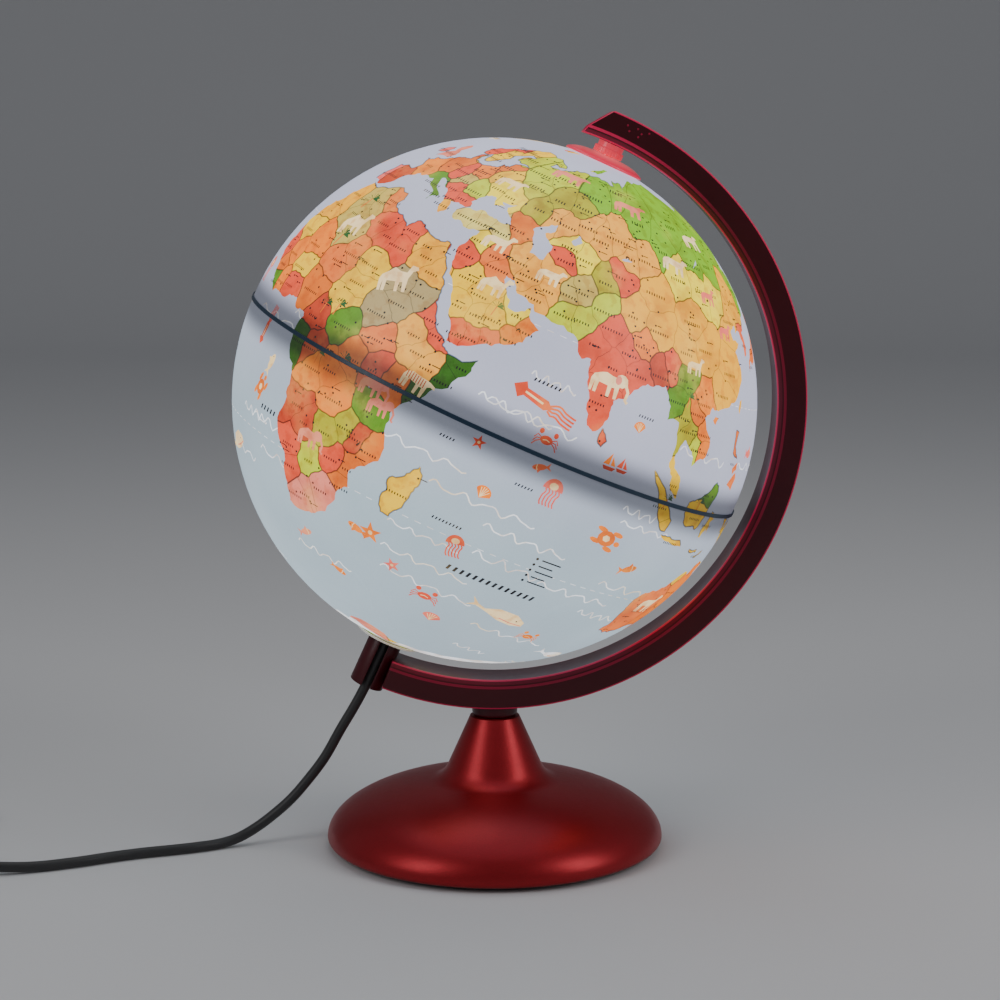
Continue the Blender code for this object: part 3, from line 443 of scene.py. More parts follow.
def prism(outline, low, high):
    return loft([[(x * mm, y * mm, z * mm) for x, y in outline] for z in (low, high)])


def cutBy(piece, shape, matrix):
    tool = born(piece.name + "Cutter", shape, matrix)
    step = piece.modifiers.new("cut", "BOOLEAN")
    step.operation = "DIFFERENCE"
    step.solver = "EXACT"
    step.object = tool
    settled(piece)
    bpy.data.objects.remove(tool)


def joined(name, pieces):
    whole = bmesh.new()
    for piece in pieces:
        whole.from_mesh(piece.data)
        bpy.data.objects.remove(piece)
    mesh = bpy.data.meshes.new(name)
    whole.to_mesh(mesh)
    whole.free()
    shaded(mesh)
    return linked(name, mesh)


# Geometry Nodes: one tree sets copies of an item round a circle, one in a line
class Growth:
    def __init__(self, name, *asked):
        self.tree = bpy.data.node_groups.new(name, "GeometryNodeTree")
        self.tree.interface.new_socket("Geometry", in_out="OUTPUT", socket_type="NodeSocketGeometry")
        self.entry = self.tree.nodes.new("NodeGroupInput")
        self.last = self.tree.nodes.new("NodeGroupOutput")
        for label, kind in (("Item", "Object"), ("Count", "Int"), *asked, ("Finish", "Material")):
            self.tree.interface.new_socket(label, in_out="INPUT", socket_type="NodeSocket" + kind)

    def node(self, kind, settings, sockets, out=0):
        made = self.tree.nodes.new(kind)
        for key, value in settings.items():
            setattr(made, key, value)
        for key, value in sockets.items():
            if isinstance(value, bpy.types.NodeSocket):
                self.tree.links.new(value, made.inputs[key])
            else:
                made.inputs[key].default_value = value
        return made.outputs[out]

    def maths(self, kind, *values):
        return self.node("ShaderNodeMath", {"operation": kind}, dict(enumerate(values)))

    def join(self, **parts):
        return self.node("ShaderNodeCombineXYZ", {}, parts)

    def asked(self, label):
        return self.entry.outputs[label]

    def steps(self, index):
        # start + index * step
        return self.maths("MULTIPLY_ADD", index, self.asked("Step"), self.asked("Start"))

    def copies(self, spot, placing):
        # the item at each point's spot, made real and given its finish
        points = self.node("GeometryNodePoints", {}, {"Count": self.asked("Count")})
        placed = self.node("GeometryNodeSetPosition", {}, {"Geometry": points, "Position": spot})
        item = self.node("GeometryNodeObjectInfo", {}, {"Object": self.asked("Item")}, out="Geometry")
        sockets = {"Points": placed, "Instance": item, **placing}
        copies = self.node("GeometryNodeInstanceOnPoints", {}, sockets)
        real = self.node("GeometryNodeRealizeInstances", {}, {0: copies})
        sockets = {"Geometry": real, "Material": self.asked("Finish")}
        self.tree.links.new(self.node("GeometryNodeSetMaterial", {}, sockets), self.last.inputs[0])
        return self.tree


def ringTree():
    # on a circle about Z, each copy turned to face outwards
    grow = Growth("copiesRoundACircle", ("Radius", "Float"), ("Start", "Float"), ("Step", "Float"))
    turn = grow.steps(grow.node("GeometryNodeInputIndex", {}, {}))
    way = grow.join(X=grow.maths("COSINE", turn), Y=grow.maths("SINE", turn))
    spot = grow.node("ShaderNodeVectorMath", {"operation": "SCALE"}, {0: way, "Scale": grow.asked("Radius")})
    return grow.copies(spot, {"Rotation": grow.join(Z=turn)})


def rowTree():
    # in a row along X, shrinking evenly across it
    grow = Growth("copiesInARow", ("Start", "Float"), ("Step", "Float"), ("Shrink", "Float"))
    index = grow.node("GeometryNodeInputIndex", {}, {})
    size = grow.maths("SUBTRACT", 1.0, grow.maths("MULTIPLY", index, grow.asked("Shrink")))
    return grow.copies(grow.join(X=grow.steps(index)), {"Scale": grow.join(X=1.0, Y=size, Z=size)})


trees = {"ring": ringTree(), "row": rowTree()}


def repeated(name, tree, item, slot, matrix, values):
    holder = linked(name, bpy.data.meshes.new(name))
    step = holder.modifiers.new("copies", "NODES")
    step.node_group = trees[tree]
    values = {**values, "Item": item, "Finish": finish[slot]}
    for socket in trees[tree].interface.items_tree:
        if socket.in_out == "INPUT":
            step[socket.identifier] = values[socket.name]
    settled(holder)
    holder.data.transform(matrix)
    bpy.data.objects.remove(item)
    return holder


# the lead, its switch, its coil and its plug
leadSet = {
    "thick": 5.2,
    "spacing": 3.0,
    "lampToSwitch": [
        (-51.4, -3.1, 113.7), (-54.5, -3.1, 106.8), (-59.9, -3.1, 95.0), (-65.3, -3.1, 83.1),
        (-71.1, -3.2, 72.2), (-78.2, -3.2, 60.2), (-86.5, -3.2, 45.4), (-95.5, -3.3, 33.3),
        (-104.3, -3.6, 23.2), (-113.9, -4.3, 14.8), (-122.4, -5.8, 8.8), (-131.2, -8.4, 4.4),
        (-140.2, -12.6, 2.75), (-150.8, -18.1, 2.75), (-163.4, -22.9, 2.75), (-176.2, -27.3, 2.75),
        (-190.4, -33.6, 2.75), (-208.0, -42.8, 2.75), (-227.0, -50.6, 3.0), (-245.0, -55.4, 4.5),
        (-256.0, -56.8, 6.0), (-263.7, -57.0, 6.5),
    ],
    "switchToCoil": [(-322.3, -57.0, 6.5), (-334.0, -57.0, 5.4), (-350.0, -57.0, 4.1)],
    "coilToPlug": [(-361.5, 21.4, 8.0), (-351.0, 21.4, 7.3), (-340.4, 21.4, 7.2)],
    "coilCentre": (-393.0, -17.8),
    "coilOuter": 39.2,
    "coilInner": 20.1,
    "layers": (3.9, 9.1),
    "layerTurns": 3.6,
    "climb": 0.3,
    "turnPoints": 24,
}


def smoothRoute(points, spacing):
    # even points on a Catmull-Rom curve through the chosen ones
    route = [Vector(point) for point in points]
    route = [2 * route[0] - route[1], *route, 2 * route[-1] - route[-2]]
    dense = []
    for before, start, end, after in zip(route, route[1:], route[2:], route[3:]):
        for k in range(24):
            t = k / 24
            bend = 2 * before - 5 * start + 4 * end - after
            twist = 3 * start - before - 3 * end + after
            dense.append(0.5 * (2 * start + (end - before) * t + bend * t**2 + twist * t**3))
    dense.append(route[-2])
    lengths = [0.0]
    for near, far in zip(dense, dense[1:]):
        lengths.append(lengths[-1] + (far - near).length)
    count = round(lengths[-1] / spacing) + 1
    even, k = [], 0
    for i in range(count):
        wanted = lengths[-1] * i / (count - 1)
        while k < len(dense) - 2 and lengths[k + 1] < wanted:
            k += 1
        share = (wanted - lengths[k]) / (lengths[k + 1] - lengths[k])
        even.append(dense[k].lerp(dense[k + 1], share) * mm)
    return even, lengths[-1] * mm


def coilPoints():
    # in along the table to the hub, up, and out again over the first layer
    cx, cy = leadSet["coilCentre"]
    outer, inner, (low, high) = leadSet["coilOuter"], leadSet["coilInner"], leadSet["layers"]
    layer, climb = leadSet["layerTurns"], leadSet["climb"]
    whole = 2 * layer + climb
    count = round(whole * leadSet["turnPoints"])
    points = []
    for i in range(count + 1):
        turns = whole * i / count
        angle = -math.pi / 2 - math.tau * turns
        back = max(0.0, turns - layer - climb)
        radius = outer - (outer - inner) * (min(turns, layer) - back) / layer
        t = min(1.0, max(0.0, (turns - layer) / climb))
        height = low + (high - low) * t * t * (3 - 2 * t)
        points.append((cx + radius * math.cos(angle), cy + radius * math.sin(angle), height))
    return points


def buildLead(name, points, farEnd, lay, pieces, *stands):
    route, length = smoothRoute(points, leadSet["spacing"])
    curve = bpy.data.curves.new(name, "CURVE")
    curve.dimensions = "3D"
    curve.bevel_depth = leadSet["thick"] / 2 * mm
    curve.bevel_resolution = 5
    curve.use_fill_caps = True
    spline = curve.splines.new("POLY")
    spline.points.add(len(route) - 1)
    spline.use_smooth = True
    for point, spot in zip(spline.points, route):
        point.co = (*spot, 1.0)
    lead = linked(name, curve)
    rest(name, "lead_jacket", "stand", *stands)
    print(f"{name} laid, {length:.3f} m")


# the switch's plan narrows to a nose; the window, ridge and rocker sizes are half widths
switchSet = {
    "nose": 5.4, "taper": 16.0, "wall": 2.0, "noseWall": 6.0, "split": 0.3, "window": (10.7, 5.6),
    "ridge": (0.4, 8.4), "ridgeStart": -25.5,
    "grip": {"Count": 7, "Start": 2.0 * mm, "Step": 1.7 * mm, "Shrink": 0.0},
    "rocker": 9.6, "rockerHalf": 5.2, "lift": 6.0, "hollow": 1.6, "tipped": -7.0, "marks": (4.7, 5.5),
    # shares of the plan's length and width, and how far below the top they are reached
    "crown": ((1, 1, 2.4), (0.985, 0.97, 1.1), (0.955, 0.9, 0.2), (0.9, 0.8, 0.0)),
}


def switchOutline(halfLength, halfWidth):
    nose, taper = switchSet["nose"], switchSet["taper"]
    right = []
    for i in range(13):
        t = i / 12
        right.append((halfLength - taper * t, nose + (halfWidth - nose) * math.sin(t * math.pi / 2) ** 1.3))
    top = right + [(-x, y) for x, y in reversed(right)]
    return top + [(x, -y) for x, y in reversed(top)]


def buildSwitchCase():
    low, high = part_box("switch_base")
    home = Matrix.Translation(((low.x + high.x) / 2, (low.y + high.y) / 2, 0))
    halfLength, halfWidth = (high.x - low.x) / 2 / mm, (high.y - low.y) / 2 / mm
    outline = switchOutline(halfLength, halfWidth)
    room = switchOutline(halfLength - switchSet["noseWall"], halfWidth - switchSet["wall"])
    base = born("switchBase", prism(outline, low.z / mm, high.z / mm), home)
    cutBy(base, prism(room, low.z / mm + 2.5, high.z / mm + 2), home)
    eased(base, 0.5)
    rest("switchBase", "black_plastic", "stand", "switch_base")

    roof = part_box("switch_cover")[1].z
    splitZ, top = high.z / mm + switchSet["split"], roof / mm
    levels = [(1, 1, splitZ)] + [(f, g, top - depth) for f, g, depth in switchSet["crown"]]
    rings = [[(x * mm * f, y * mm * g, z * mm) for x, y in outline] for f, g, z in levels]
    cover = born("switchCover", loft(rings), home)
    cutBy(cover, prism(room, splitZ - 2, top - 2), home)
    cutBy(cover, prism(slab(*switchSet["window"]), top - 4, top + 2), home)
    eased(cover, 0.25, 2)
    rest("switchCover", "black_plastic", "stand", "switch_cover")

    ridge = eased(born("ridge", prism(slab(*switchSet["ridge"]), -0.5, 0.28)), 0.2, 2)
    start = home @ Matrix.Translation((switchSet["ridgeStart"] * mm, 0, roof))
    grip = repeated("switchGrip", "row", ridge, "black_plastic", start, switchSet["grip"])
    rest("switchGrip", "black_plastic", "stand")
    return [cover, base, grip]


def buildRocker():
    # its top is hollow, with a raised bar on one end and a ring on the other
    s = switchSet
    joint = frame["record"]["behaviour"]["joints"][1]
    pivot = Matrix.Translation(Vector(joint["pos_m"])) @ Matrix.Rotation(math.radians(s["tipped"]), 4, "Y")
    upright = pivot @ Matrix.Rotation(math.pi / 2, 4, "X")
    reach, lift = s["rocker"], s["lift"]
    side = [(-reach, 1.0), (-3, -2.5), (3, -2.5), (reach, 1.0), (reach, lift)]
    for i in range(1, 14):
        side.append((reach - 2 * reach * i / 14, lift - s["hollow"] + s["hollow"] * (1 - 2 * i / 14) ** 2))
    body = prism(side + [(-reach, lift)], -s["rockerHalf"], s["rockerHalf"])
    body = eased(born("rockerBody", body, upright), 0.35)
    trunnion = turned([(0, -7.6), (1.0, -7.6), (1.2, -7.4), (1.2, 7.4), (1.0, 7.6), (0, 7.6)], 32)
    low, high = s["marks"]
    bar = born("bar", prism(slab(0.35, 1.6), low, high), pivot @ Matrix.Translation((6.0 * mm, 0, 0)))
    ring = turned([(1.1, low), (1.7, low), (1.7, high), (1.1, high)], 32)
    ring = born("ring", ring, pivot @ Matrix.Translation((-6.0 * mm, 0, 0)))
    joined("switchRocker", [body, born("trunnion", trunnion, upright), bar, ring])
    return rest("switchRocker", "black_plastic", "rocker", "switch_rocker")


# the plug's hull is lofted from its lead end to its face: place along it, half width, half height
plugSet = {
    "origin": (-320.0, 21.4, 7.2), "length": 33.0, "relief": 20.0, "pinSide": 9.3, "face": (15.2, 5.0),
    "rings": {"Count": 5, "Start": -2.2 * mm, "Step": -3.8 * mm, "Shrink": 0.052},
    "hull": (
        (0, 5.2, 5.2), (3, 5.7, 5.45), (6, 6.8, 5.8), (10, 8.7, 6.2), (14, 11.0, 6.5), (18, 13.5, 6.7),
        (22, 15.6, 6.8), (27, 16.8, 6.85), (32.0, 17.2, 6.8), (32.7, 16.9, 6.5), (33.0, 16.3, 6.0),
    ),
}


def buildPlug():
    place = Matrix.Translation(Vector(plugSet["origin"]) * mm)
    onSide = Matrix.Rotation(math.pi / 2, 4, "Y")
    length, relief = plugSet["length"], plugSet["relief"]
    rings = []
    for x, halfWidth, halfHeight in plugSet["hull"]:
        ring, bulge = [], min(halfWidth, halfHeight)
        for i in range(48):
            across, up = math.cos(math.tau * i / 48), math.sin(math.tau * i / 48)
            shift = math.copysign(halfWidth - bulge, across) if abs(across) > 1e-6 else 0.0
            ring.append((x * mm, (across * bulge + shift) * mm, up * bulge * mm))
        rings.append(ring)
    body = born("plugHull", loft(rings), place)
    core = [(0, -relief), (3.0, -relief), (3.2, -relief + 0.5), (4.4, 0.5), (0, 0.5)]
    core = born("reliefCore", turned(core, 48), place @ onSide)
    collar = [(2.4, -1.1), (4.5, -1.1), (4.9, -0.7), (4.9, 0.7), (4.5, 1.1), (2.4, 1.1)]
    collar = born("reliefRing", turned(collar, 48), onSide)
    collars = repeated("reliefRings", "row", collar, "black_plastic", place, plugSet["rings"])
    front = place @ Matrix.Translation((length * mm, 0, 0)) @ onSide @ Matrix.Rotation(math.pi / 2, 4, "Z")
    face = eased(born("plugFace", prism(slab(*plugSet["face"]), -0.5, 0.2), front), 0.2, 2)
    joined("plugBody", [body, core, collars, face])
    pieces = [rest("plugBody", "black_plastic", "stand", "plug_body")]
    tip = length + 19
    pin = [(0, length + 10), (1.9, length + 10), (2.0, length + 10.2), (2.0, tip - 1.6)]
    pin += [(1.7, tip - 0.6), (1.0, tip), (0, tip)]
    root, end = length - 0.4, length + 9.95
    sleeve = [(0, root), (2.0, root), (2.0, end - 0.15), (1.7, end), (0, end)]
    for number, side in enumerate((-plugSet["pinSide"], plugSet["pinSide"]), 1):
        spot = place @ Matrix.Translation((0, side * mm, 0)) @ onSide
        node = f"plug_pin_{number}"
        pieces.append(turnedPiece(f"plugPin{number}", pin, 40, spot, "nickel", "stand", node))
        pieces.append(turnedPiece(f"pinSleeve{number}", sleeve, 40, spot, "black_plastic", "stand"))
    return pieces


# a hook-and-loop strap round the coil: how square its loop is, half its width, its thickness
tieSet = {"square": 0.28, "half": 2.45, "thick": 0.8, "ease": 0.25, "sides": 72}


def buildTie():
    low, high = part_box("cord_tie")
    halfX, halfZ = (high.x - low.x) / 2 / mm, (high.z - low.z) / 2 / mm
    half, ease, thick = tieSet["half"], tieSet["ease"], tieSet["thick"]
    outer, inner = [(0.0, half - ease), (0.12, half)], [(thick - 0.12, half), (thick, half - ease)]
    section = [(0.0, ease - half), *outer, *inner]
    section += [(inset, -y) for inset, y in inner[::-1] + outer[:0:-1]]
    rings = []
    for i in range(tieSet["sides"]):
        turn = math.tau * i / tieSet["sides"]
        x, z = [math.copysign(abs(c) ** tieSet["square"], c) for c in (math.cos(turn), math.sin(turn))]
        rings.append([((halfX - inset) * x * mm, y * mm, (halfZ - inset) * z * mm) for inset, y in section])
    born("cordTie", loft(rings, closed=True), Matrix.Translation([(a + b) / 2 for a, b in zip(low, high)]))
    return rest("cordTie", "black_plastic", "stand", "cord_tie")


def buildCords():
    held = [*buildSwitchCase(), buildRocker()]
    held += [frame["nodes"][name] for name in ("switch_contact", "switch_screw_1", "switch_screw_2")]
    spare = [*buildPlug(), buildTie()]
    buildLead("leadToSwitch", leadSet["lampToSwitch"], "fitting", "loose", held, "cord_lamp_to_switch")
    points = leadSet["switchToCoil"] + coilPoints() + leadSet["coilToPlug"]
    stands = ("cord_switch_to_coil", "cord_coil", "cord_coil_to_plug")
    buildLead("leadToPlug", points, "plug", "coiled", spare, *stands)


buildCamera()
buildCords()


# the map, drawn as outlines in degrees of longitude and latitude
paints = {
    "amber": (0.97, 0.64, 0.08), "apricot": (0.97, 0.62, 0.16), "coral": (0.88, 0.26, 0.15),
    "salmon": (0.92, 0.40, 0.14), "gold": (0.97, 0.74, 0.06), "yellow": (0.98, 0.86, 0.10),
    "khaki": (0.74, 0.63, 0.26), "sand": (0.86, 0.78, 0.36), "taupe": (0.62, 0.53, 0.33),
    "green": (0.42, 0.66, 0.06), "fern": (0.28, 0.48, 0.06), "forest": (0.14, 0.31, 0.06),
    "olive": (0.62, 0.60, 0.06), "lime": (0.72, 0.78, 0.08), "brick": (0.72, 0.20, 0.10),
    "rust": (0.88, 0.38, 0.08), "rose": (0.92, 0.46, 0.38), "cream": (1.0, 0.86, 0.62),
    "ink": (0.05, 0.05, 0.07), "foam": (0.95, 0.97, 1.0), "leaf": (0.10, 0.28, 0.12),
    "pink": (0.95, 0.36, 0.32), "orange": (0.98, 0.45, 0.08), "shore": (0.30, 0.36, 0.46),
}

mapSet = {
    "zeroAt": 150.25,  # the longitude that faces +X in the globe's own axes
    "top": 87.0, "bottom": -83.15, "grid": 3.0, "wall": 1.2, "seed": 11,
    "coastSway": 0.17, "isleSway": 0.09, "borderSway": 0.13,
    "coast": 0.16, "border": 0.15, "province": 0.08, "current": 0.14, "swell": 0.15, "tropic": 0.07,
    "currents": 34, "towns": 1500, "town": 0.26, "pictureSize": 0.88,
}

lands = {
    "africa": [
        (-6, 35.8), (-2, 35.1), (3, 36.9), (10, 37.3), (11, 35.5), (10.2, 34.2), (11.3, 33.2), (15.3, 32.3),
        (19, 30.3), (20.3, 32.6), (23, 32.6), (25, 31.6), (29, 30.9), (31, 31.5), (32.4, 31.2), (32.6, 29.9),
        (33.8, 27.5), (35.5, 24), (37.2, 21), (37.4, 18.8), (39.5, 15.5), (43.2, 12.5), (43.3, 11.5),
        (45, 10.6), (51.2, 11.9), (50.8, 9.5), (48, 4.5), (44.5, 1.2), (41, -2), (39.3, -5), (39.5, -8),
        (40.5, -11), (40.6, -15), (37, -17.8), (34.8, -20), (35.5, -23.5), (32.8, -26), (32, -29), (28, -33),
        (25.5, -34), (20, -34.8), (18.4, -34.2), (17.9, -32), (16.5, -28.6), (14.5, -22.8), (11.8, -17.8),
        (13.5, -12.5), (13.2, -9), (12.2, -5.8), (9, -1), (9.5, 3.8), (8.5, 4.6), (6, 4.3), (4.3, 6.3),
        (1.2, 6), (-2, 4.8), (-4.5, 5.2), (-7.5, 4.4), (-11, 6.8), (-13.3, 9), (-15, 11), (-16.8, 12.5),
        (-17.4, 14.7), (-16.3, 16.5), (-16.5, 19.5), (-17, 21), (-15, 25), (-13, 27.7), (-10, 29.5),
        (-9.7, 31.5), (-7.5, 33.6),
    ],
    "madagascar": [
        (49.3, -12), (50.5, -15.5), (49.5, -18), (47.8, -23), (46.5, -25.2), (44.5, -25), (43.4, -22),
        (44.4, -19.8), (44, -17), (46.5, -15.7), (48, -13.6),
    ],
    "eurasia": [
        (-9, 37), (-9.4, 39), (-8.8, 41.8), (-9.2, 43.1), (-2, 43.4), (-1.3, 44.5), (-1.2, 46), (-4.6, 48.3),
        (-1.5, 48.7), (-1.8, 49.7), (1.5, 50.1), (2.5, 51.1), (4.5, 52.8), (7, 53.5), (8.8, 54), (8.2, 57),
        (10.5, 57.7), (10.2, 56), (11, 54.4), (14, 54), (18.5, 54.7), (21, 55.3), (21.2, 57.2), (23.8, 57.2),
        (24, 59), (30, 59.9), (25, 60.3), (21.5, 61), (21.3, 63), (25.3, 65), (22, 65.7), (17.5, 62),
        (18.8, 60), (16.5, 57), (14.2, 55.5), (12.8, 56), (11, 59), (7, 58), (5, 60.5), (6, 62.6), (12, 66),
        (16, 69), (25.5, 71), (31, 70.2), (40, 67.8), (41, 66.4), (35, 66.4), (34.5, 64.5), (40, 64.6),
        (44, 66.5), (46, 68), (54, 68.5), (60.5, 69), (68.5, 68.5), (67, 71), (73, 71.5), (74, 68), (77, 72),
        (87, 75), (104, 77.5), (113, 74), (130, 71), (140, 72.5), (160, 69.7), (170, 70), (180, 69),
        (180, 65), (177, 62.5), (163, 60), (163, 56), (157, 51.2), (156, 57), (163, 61.5), (155, 59.5),
        (143, 59.3), (135.5, 54.7), (141, 53), (140.5, 48.5), (135.5, 44), (132, 43.2), (129.7, 41),
        (127.5, 39.7), (129.4, 36.5), (126.5, 34.5), (126.6, 37.5), (124.8, 39.7), (121.5, 39),
        (121.8, 40.8), (118, 39), (119, 37.3), (122.5, 37), (119.3, 34.8), (121.8, 31.8), (121.5, 28.5),
        (118.5, 24.5), (114, 22.4), (110.3, 21.2), (108, 21.6), (105.8, 19), (108.9, 15.3), (109.2, 11.8),
        (106.8, 10.4), (105, 8.7), (104.8, 10.5), (102.5, 12.2), (100.9, 13.4), (100, 12), (99.3, 9.3),
        (102.2, 6.3), (103.4, 4.5), (104.2, 1.4), (101.3, 2.8), (100.4, 5.5), (98.3, 8), (98.6, 12),
        (97.7, 16.3), (94.3, 16), (94.3, 18.8), (91.8, 22.3), (90, 21.9), (87, 21.3), (85, 19.6),
        (82.3, 16.6), (80.2, 15.5), (80.2, 13), (79.8, 10.3), (78, 8.3), (76.5, 9), (74.8, 13), (73.3, 17),
        (72.7, 20.5), (72.5, 21.5), (70.5, 20.8), (69, 22.3), (67, 24.8), (61.6, 25.2), (57.3, 25.7),
        (56.5, 27), (52, 27.7), (50.2, 30), (48, 30.2), (48.5, 28.4), (50.2, 26.5), (51.3, 25.8),
        (51.6, 24.2), (54, 24.2), (56.3, 26.2), (56.8, 24.2), (59.8, 22.5), (58, 20.3), (57.7, 18.9),
        (55.2, 17.3), (52.2, 15.6), (48.5, 14), (45, 12.8), (43.4, 12.8), (42.8, 15.8), (40.5, 19.8),
        (38.5, 23.5), (35.2, 28), (34.9, 29.5), (34.2, 31.3), (35, 32.8), (36, 35.7), (36, 36.8),
        (32.5, 36.1), (30.5, 36.8), (27.5, 36.8), (26.3, 39.2), (29, 41), (33, 42), (36, 41.4), (38.5, 41),
        (41.6, 41.6), (39, 43.8), (37.5, 45.3), (39.3, 47.2), (35, 46.2), (36.5, 45.3), (33.7, 44.4),
        (32.8, 46.1), (30.8, 46.5), (28.8, 44.8), (27.7, 42.6), (28.9, 41.3), (26.2, 40.8), (24, 40.6),
        (22.8, 40.4), (24, 38), (22.8, 36.5), (21.3, 37.7), (19.4, 41.4), (16, 43.5), (13.8, 45.1),
        (12.4, 44.9), (14, 42.6), (18.4, 40.2), (16.6, 39.7), (16, 38), (15.7, 40), (12.4, 41.7),
        (10.3, 43.8), (7.5, 43.8), (4, 43.5), (3.1, 42.3), (0, 39.7), (-0.7, 37.7), (-2, 36.8), (-5.5, 36.1),
        (-6.5, 37),
    ],
    "farEast": [(-180, 69), (-170, 66), (-175, 64.5), (-180, 65)],
    "britain": [
        (-5.5, 50.2), (1, 51), (1.6, 52.8), (-1.5, 55), (-2, 57.5), (-5, 58.6), (-5.5, 56), (-3, 54),
        (-5, 52),
    ],
    "ireland": [(-6, 52.2), (-9.8, 51.7), (-10, 54), (-7.5, 55.3), (-5.8, 54.3)],
    "iceland": [(-22, 64), (-14, 64.6), (-15, 66.2), (-23, 66.2)],
    "svalbard": [(12, 78), (20, 77), (27, 80), (15, 80)],
    "novaya": [(52, 71), (57, 71), (68, 77), (60, 76)],
    "honshu": [
        (130, 31.5), (132, 33.8), (136, 33.6), (140, 35.2), (142, 39.6), (141.3, 41.4), (139.8, 39),
        (136.8, 37), (132.5, 35.4), (130, 33.4),
    ],
    "hokkaido": [(140.3, 41.6), (145.3, 43.3), (141.8, 45.4)],
    "sakhalin": [(141.8, 46), (143.6, 46.8), (143.8, 49.6), (143, 54.2), (142.2, 53.6), (142, 50)],
    "taiwan": [(120.3, 23), (121, 22), (121.9, 25), (120.8, 24.6)],
    "hainan": [(108.8, 19), (110, 18.3), (111, 20), (109.5, 20)],
    "ceylon": [(80, 9.7), (81.8, 7.5), (81, 6.1), (79.9, 6.8)],
    "luzon": [(120.5, 16), (120.4, 18.5), (122.2, 18.3), (121.5, 15), (124, 12.7), (120.7, 13.8)],
    "visayas": [(122.5, 10.5), (123.2, 9.3), (125.2, 10.5), (125, 12), (123.5, 11.3)],
    "mindanao": [(122, 7), (125.5, 5.8), (126.3, 8.5), (125.3, 9.8), (123.5, 8.5)],
    "borneo": [
        (109, 1.5), (111.3, 2.5), (113.5, 3.8), (117, 7), (119, 5.2), (117.8, 2), (117.5, -0.8), (116, -3.8),
        (113.8, -3.3), (110.2, -2.8), (109, -0.3),
    ],
    "sumatra": [
        (95.3, 5.6), (98.5, 3.6), (103.5, -0.8), (106, -3.2), (105.8, -5.8), (104.2, -5.7), (101, -2.6),
        (98.8, 1.5),
    ],
    "java": [(105.3, -6.7), (108.5, -6.6), (112.8, -6.8), (114.4, -8.2), (110, -8), (106.5, -7.4)],
    "sulawesi": [
        (119.5, -5.3), (119.2, -3), (120.2, 0.8), (124.8, 1.5), (121.2, 0.3), (123, -0.8), (121.5, -1.8),
        (122.6, -4.5), (121.2, -3), (120.4, -5.4),
    ],
    "flores": [(119, -8.4), (123, -8.2), (123.2, -8.9), (119.2, -8.9)],
    "timor": [(123.6, -10.2), (127.2, -8.4), (127, -8.9), (124.4, -10.4)],
    "newGuinea": [
        (131, -0.8), (134.2, -0.8), (135, -3.3), (138, -1.7), (141, -2.6), (145.8, -5), (147.5, -6.2),
        (150.8, -10.4), (147, -9.5), (143, -8.8), (139, -8.1), (138, -6.8), (135.2, -4.4), (132.8, -3.9),
        (133, -2.5),
    ],
    "australia": [
        (114.2, -22), (113.5, -24.5), (114.2, -27), (115.5, -31.5), (115, -34.2), (118, -35), (123.5, -33.9),
        (129, -31.6), (131.5, -31.5), (135.2, -34.7), (137.8, -33), (138.2, -35.4), (140, -37.8),
        (144, -38.6), (146.5, -39), (150, -37.3), (151.5, -33), (153.2, -29), (153.2, -25), (150.8, -23),
        (146.8, -19.3), (145.4, -15), (142.6, -10.9), (141.5, -13), (140.8, -17.4), (139, -17.2),
        (135.5, -15), (136.8, -12.3), (132.6, -11.4), (130.2, -12.8), (129.5, -15), (126.5, -14),
        (123.5, -16.5), (122.2, -18.3), (119, -20), (116, -20.8),
    ],
    "tasmania": [(144.8, -40.8), (148.2, -40.9), (147.8, -43.2), (146, -43.5)],
    "northIsland": [
        (172.8, -34.5), (175.5, -36.8), (178.4, -37.8), (177, -39.5), (175.2, -41.5), (173.8, -39.3),
        (174.8, -37.5),
    ],
    "southIsland": [
        (172.7, -40.6), (174.2, -41.6), (172.6, -43.8), (170.6, -46), (168.5, -46.6), (166.6, -45.8),
        (171, -42.3),
    ],
    "northAmerica": [
        (-168, 66), (-166, 68.5), (-156.5, 71.3), (-141, 69.7), (-128, 70), (-115, 68), (-108, 68),
        (-95, 67.5), (-94, 72), (-85, 69), (-87, 64.5), (-94, 60.5), (-92.5, 57), (-82.3, 55), (-80, 51.3),
        (-78.8, 54.5), (-77, 57.5), (-78, 62.3), (-70, 61), (-67, 58.5), (-64.5, 60.3), (-61.5, 56.5),
        (-56, 53), (-59.5, 50.2), (-66.5, 50.2), (-64.5, 48.8), (-65, 47), (-61, 46), (-65.5, 43.6),
        (-67, 45), (-70.5, 43.5), (-70.2, 41.7), (-74, 40.6), (-75.8, 37), (-76, 35), (-81, 31.8),
        (-80.2, 26), (-81.2, 25.2), (-82.8, 28), (-84.5, 30), (-89.5, 30), (-94, 29.5), (-97.3, 27.5),
        (-97.7, 22.5), (-95, 18.6), (-91, 18.8), (-90.3, 21), (-87, 21.5), (-88.3, 16), (-83.3, 15),
        (-83.6, 11), (-79.5, 9.4), (-77.5, 8.6), (-78, 7.5), (-83, 8.2), (-87.7, 13), (-94, 16.2),
        (-101, 17.5), (-105.6, 20.3), (-109.3, 25.7), (-112.8, 31.2), (-114.8, 31.5), (-110, 23), (-112, 26),
        (-115.8, 30.2), (-117.3, 33), (-120.6, 34.6), (-122.5, 37.5), (-124.3, 40.4), (-124, 46.3),
        (-123, 49), (-128, 51), (-130.5, 54.8), (-135, 58.5), (-140, 59.8), (-146, 60.8), (-152, 59.3),
        (-158, 56.5), (-163, 54.8), (-157.5, 58.8), (-162, 60), (-165, 62.5), (-161, 64.5),
    ],
    "greenland": [
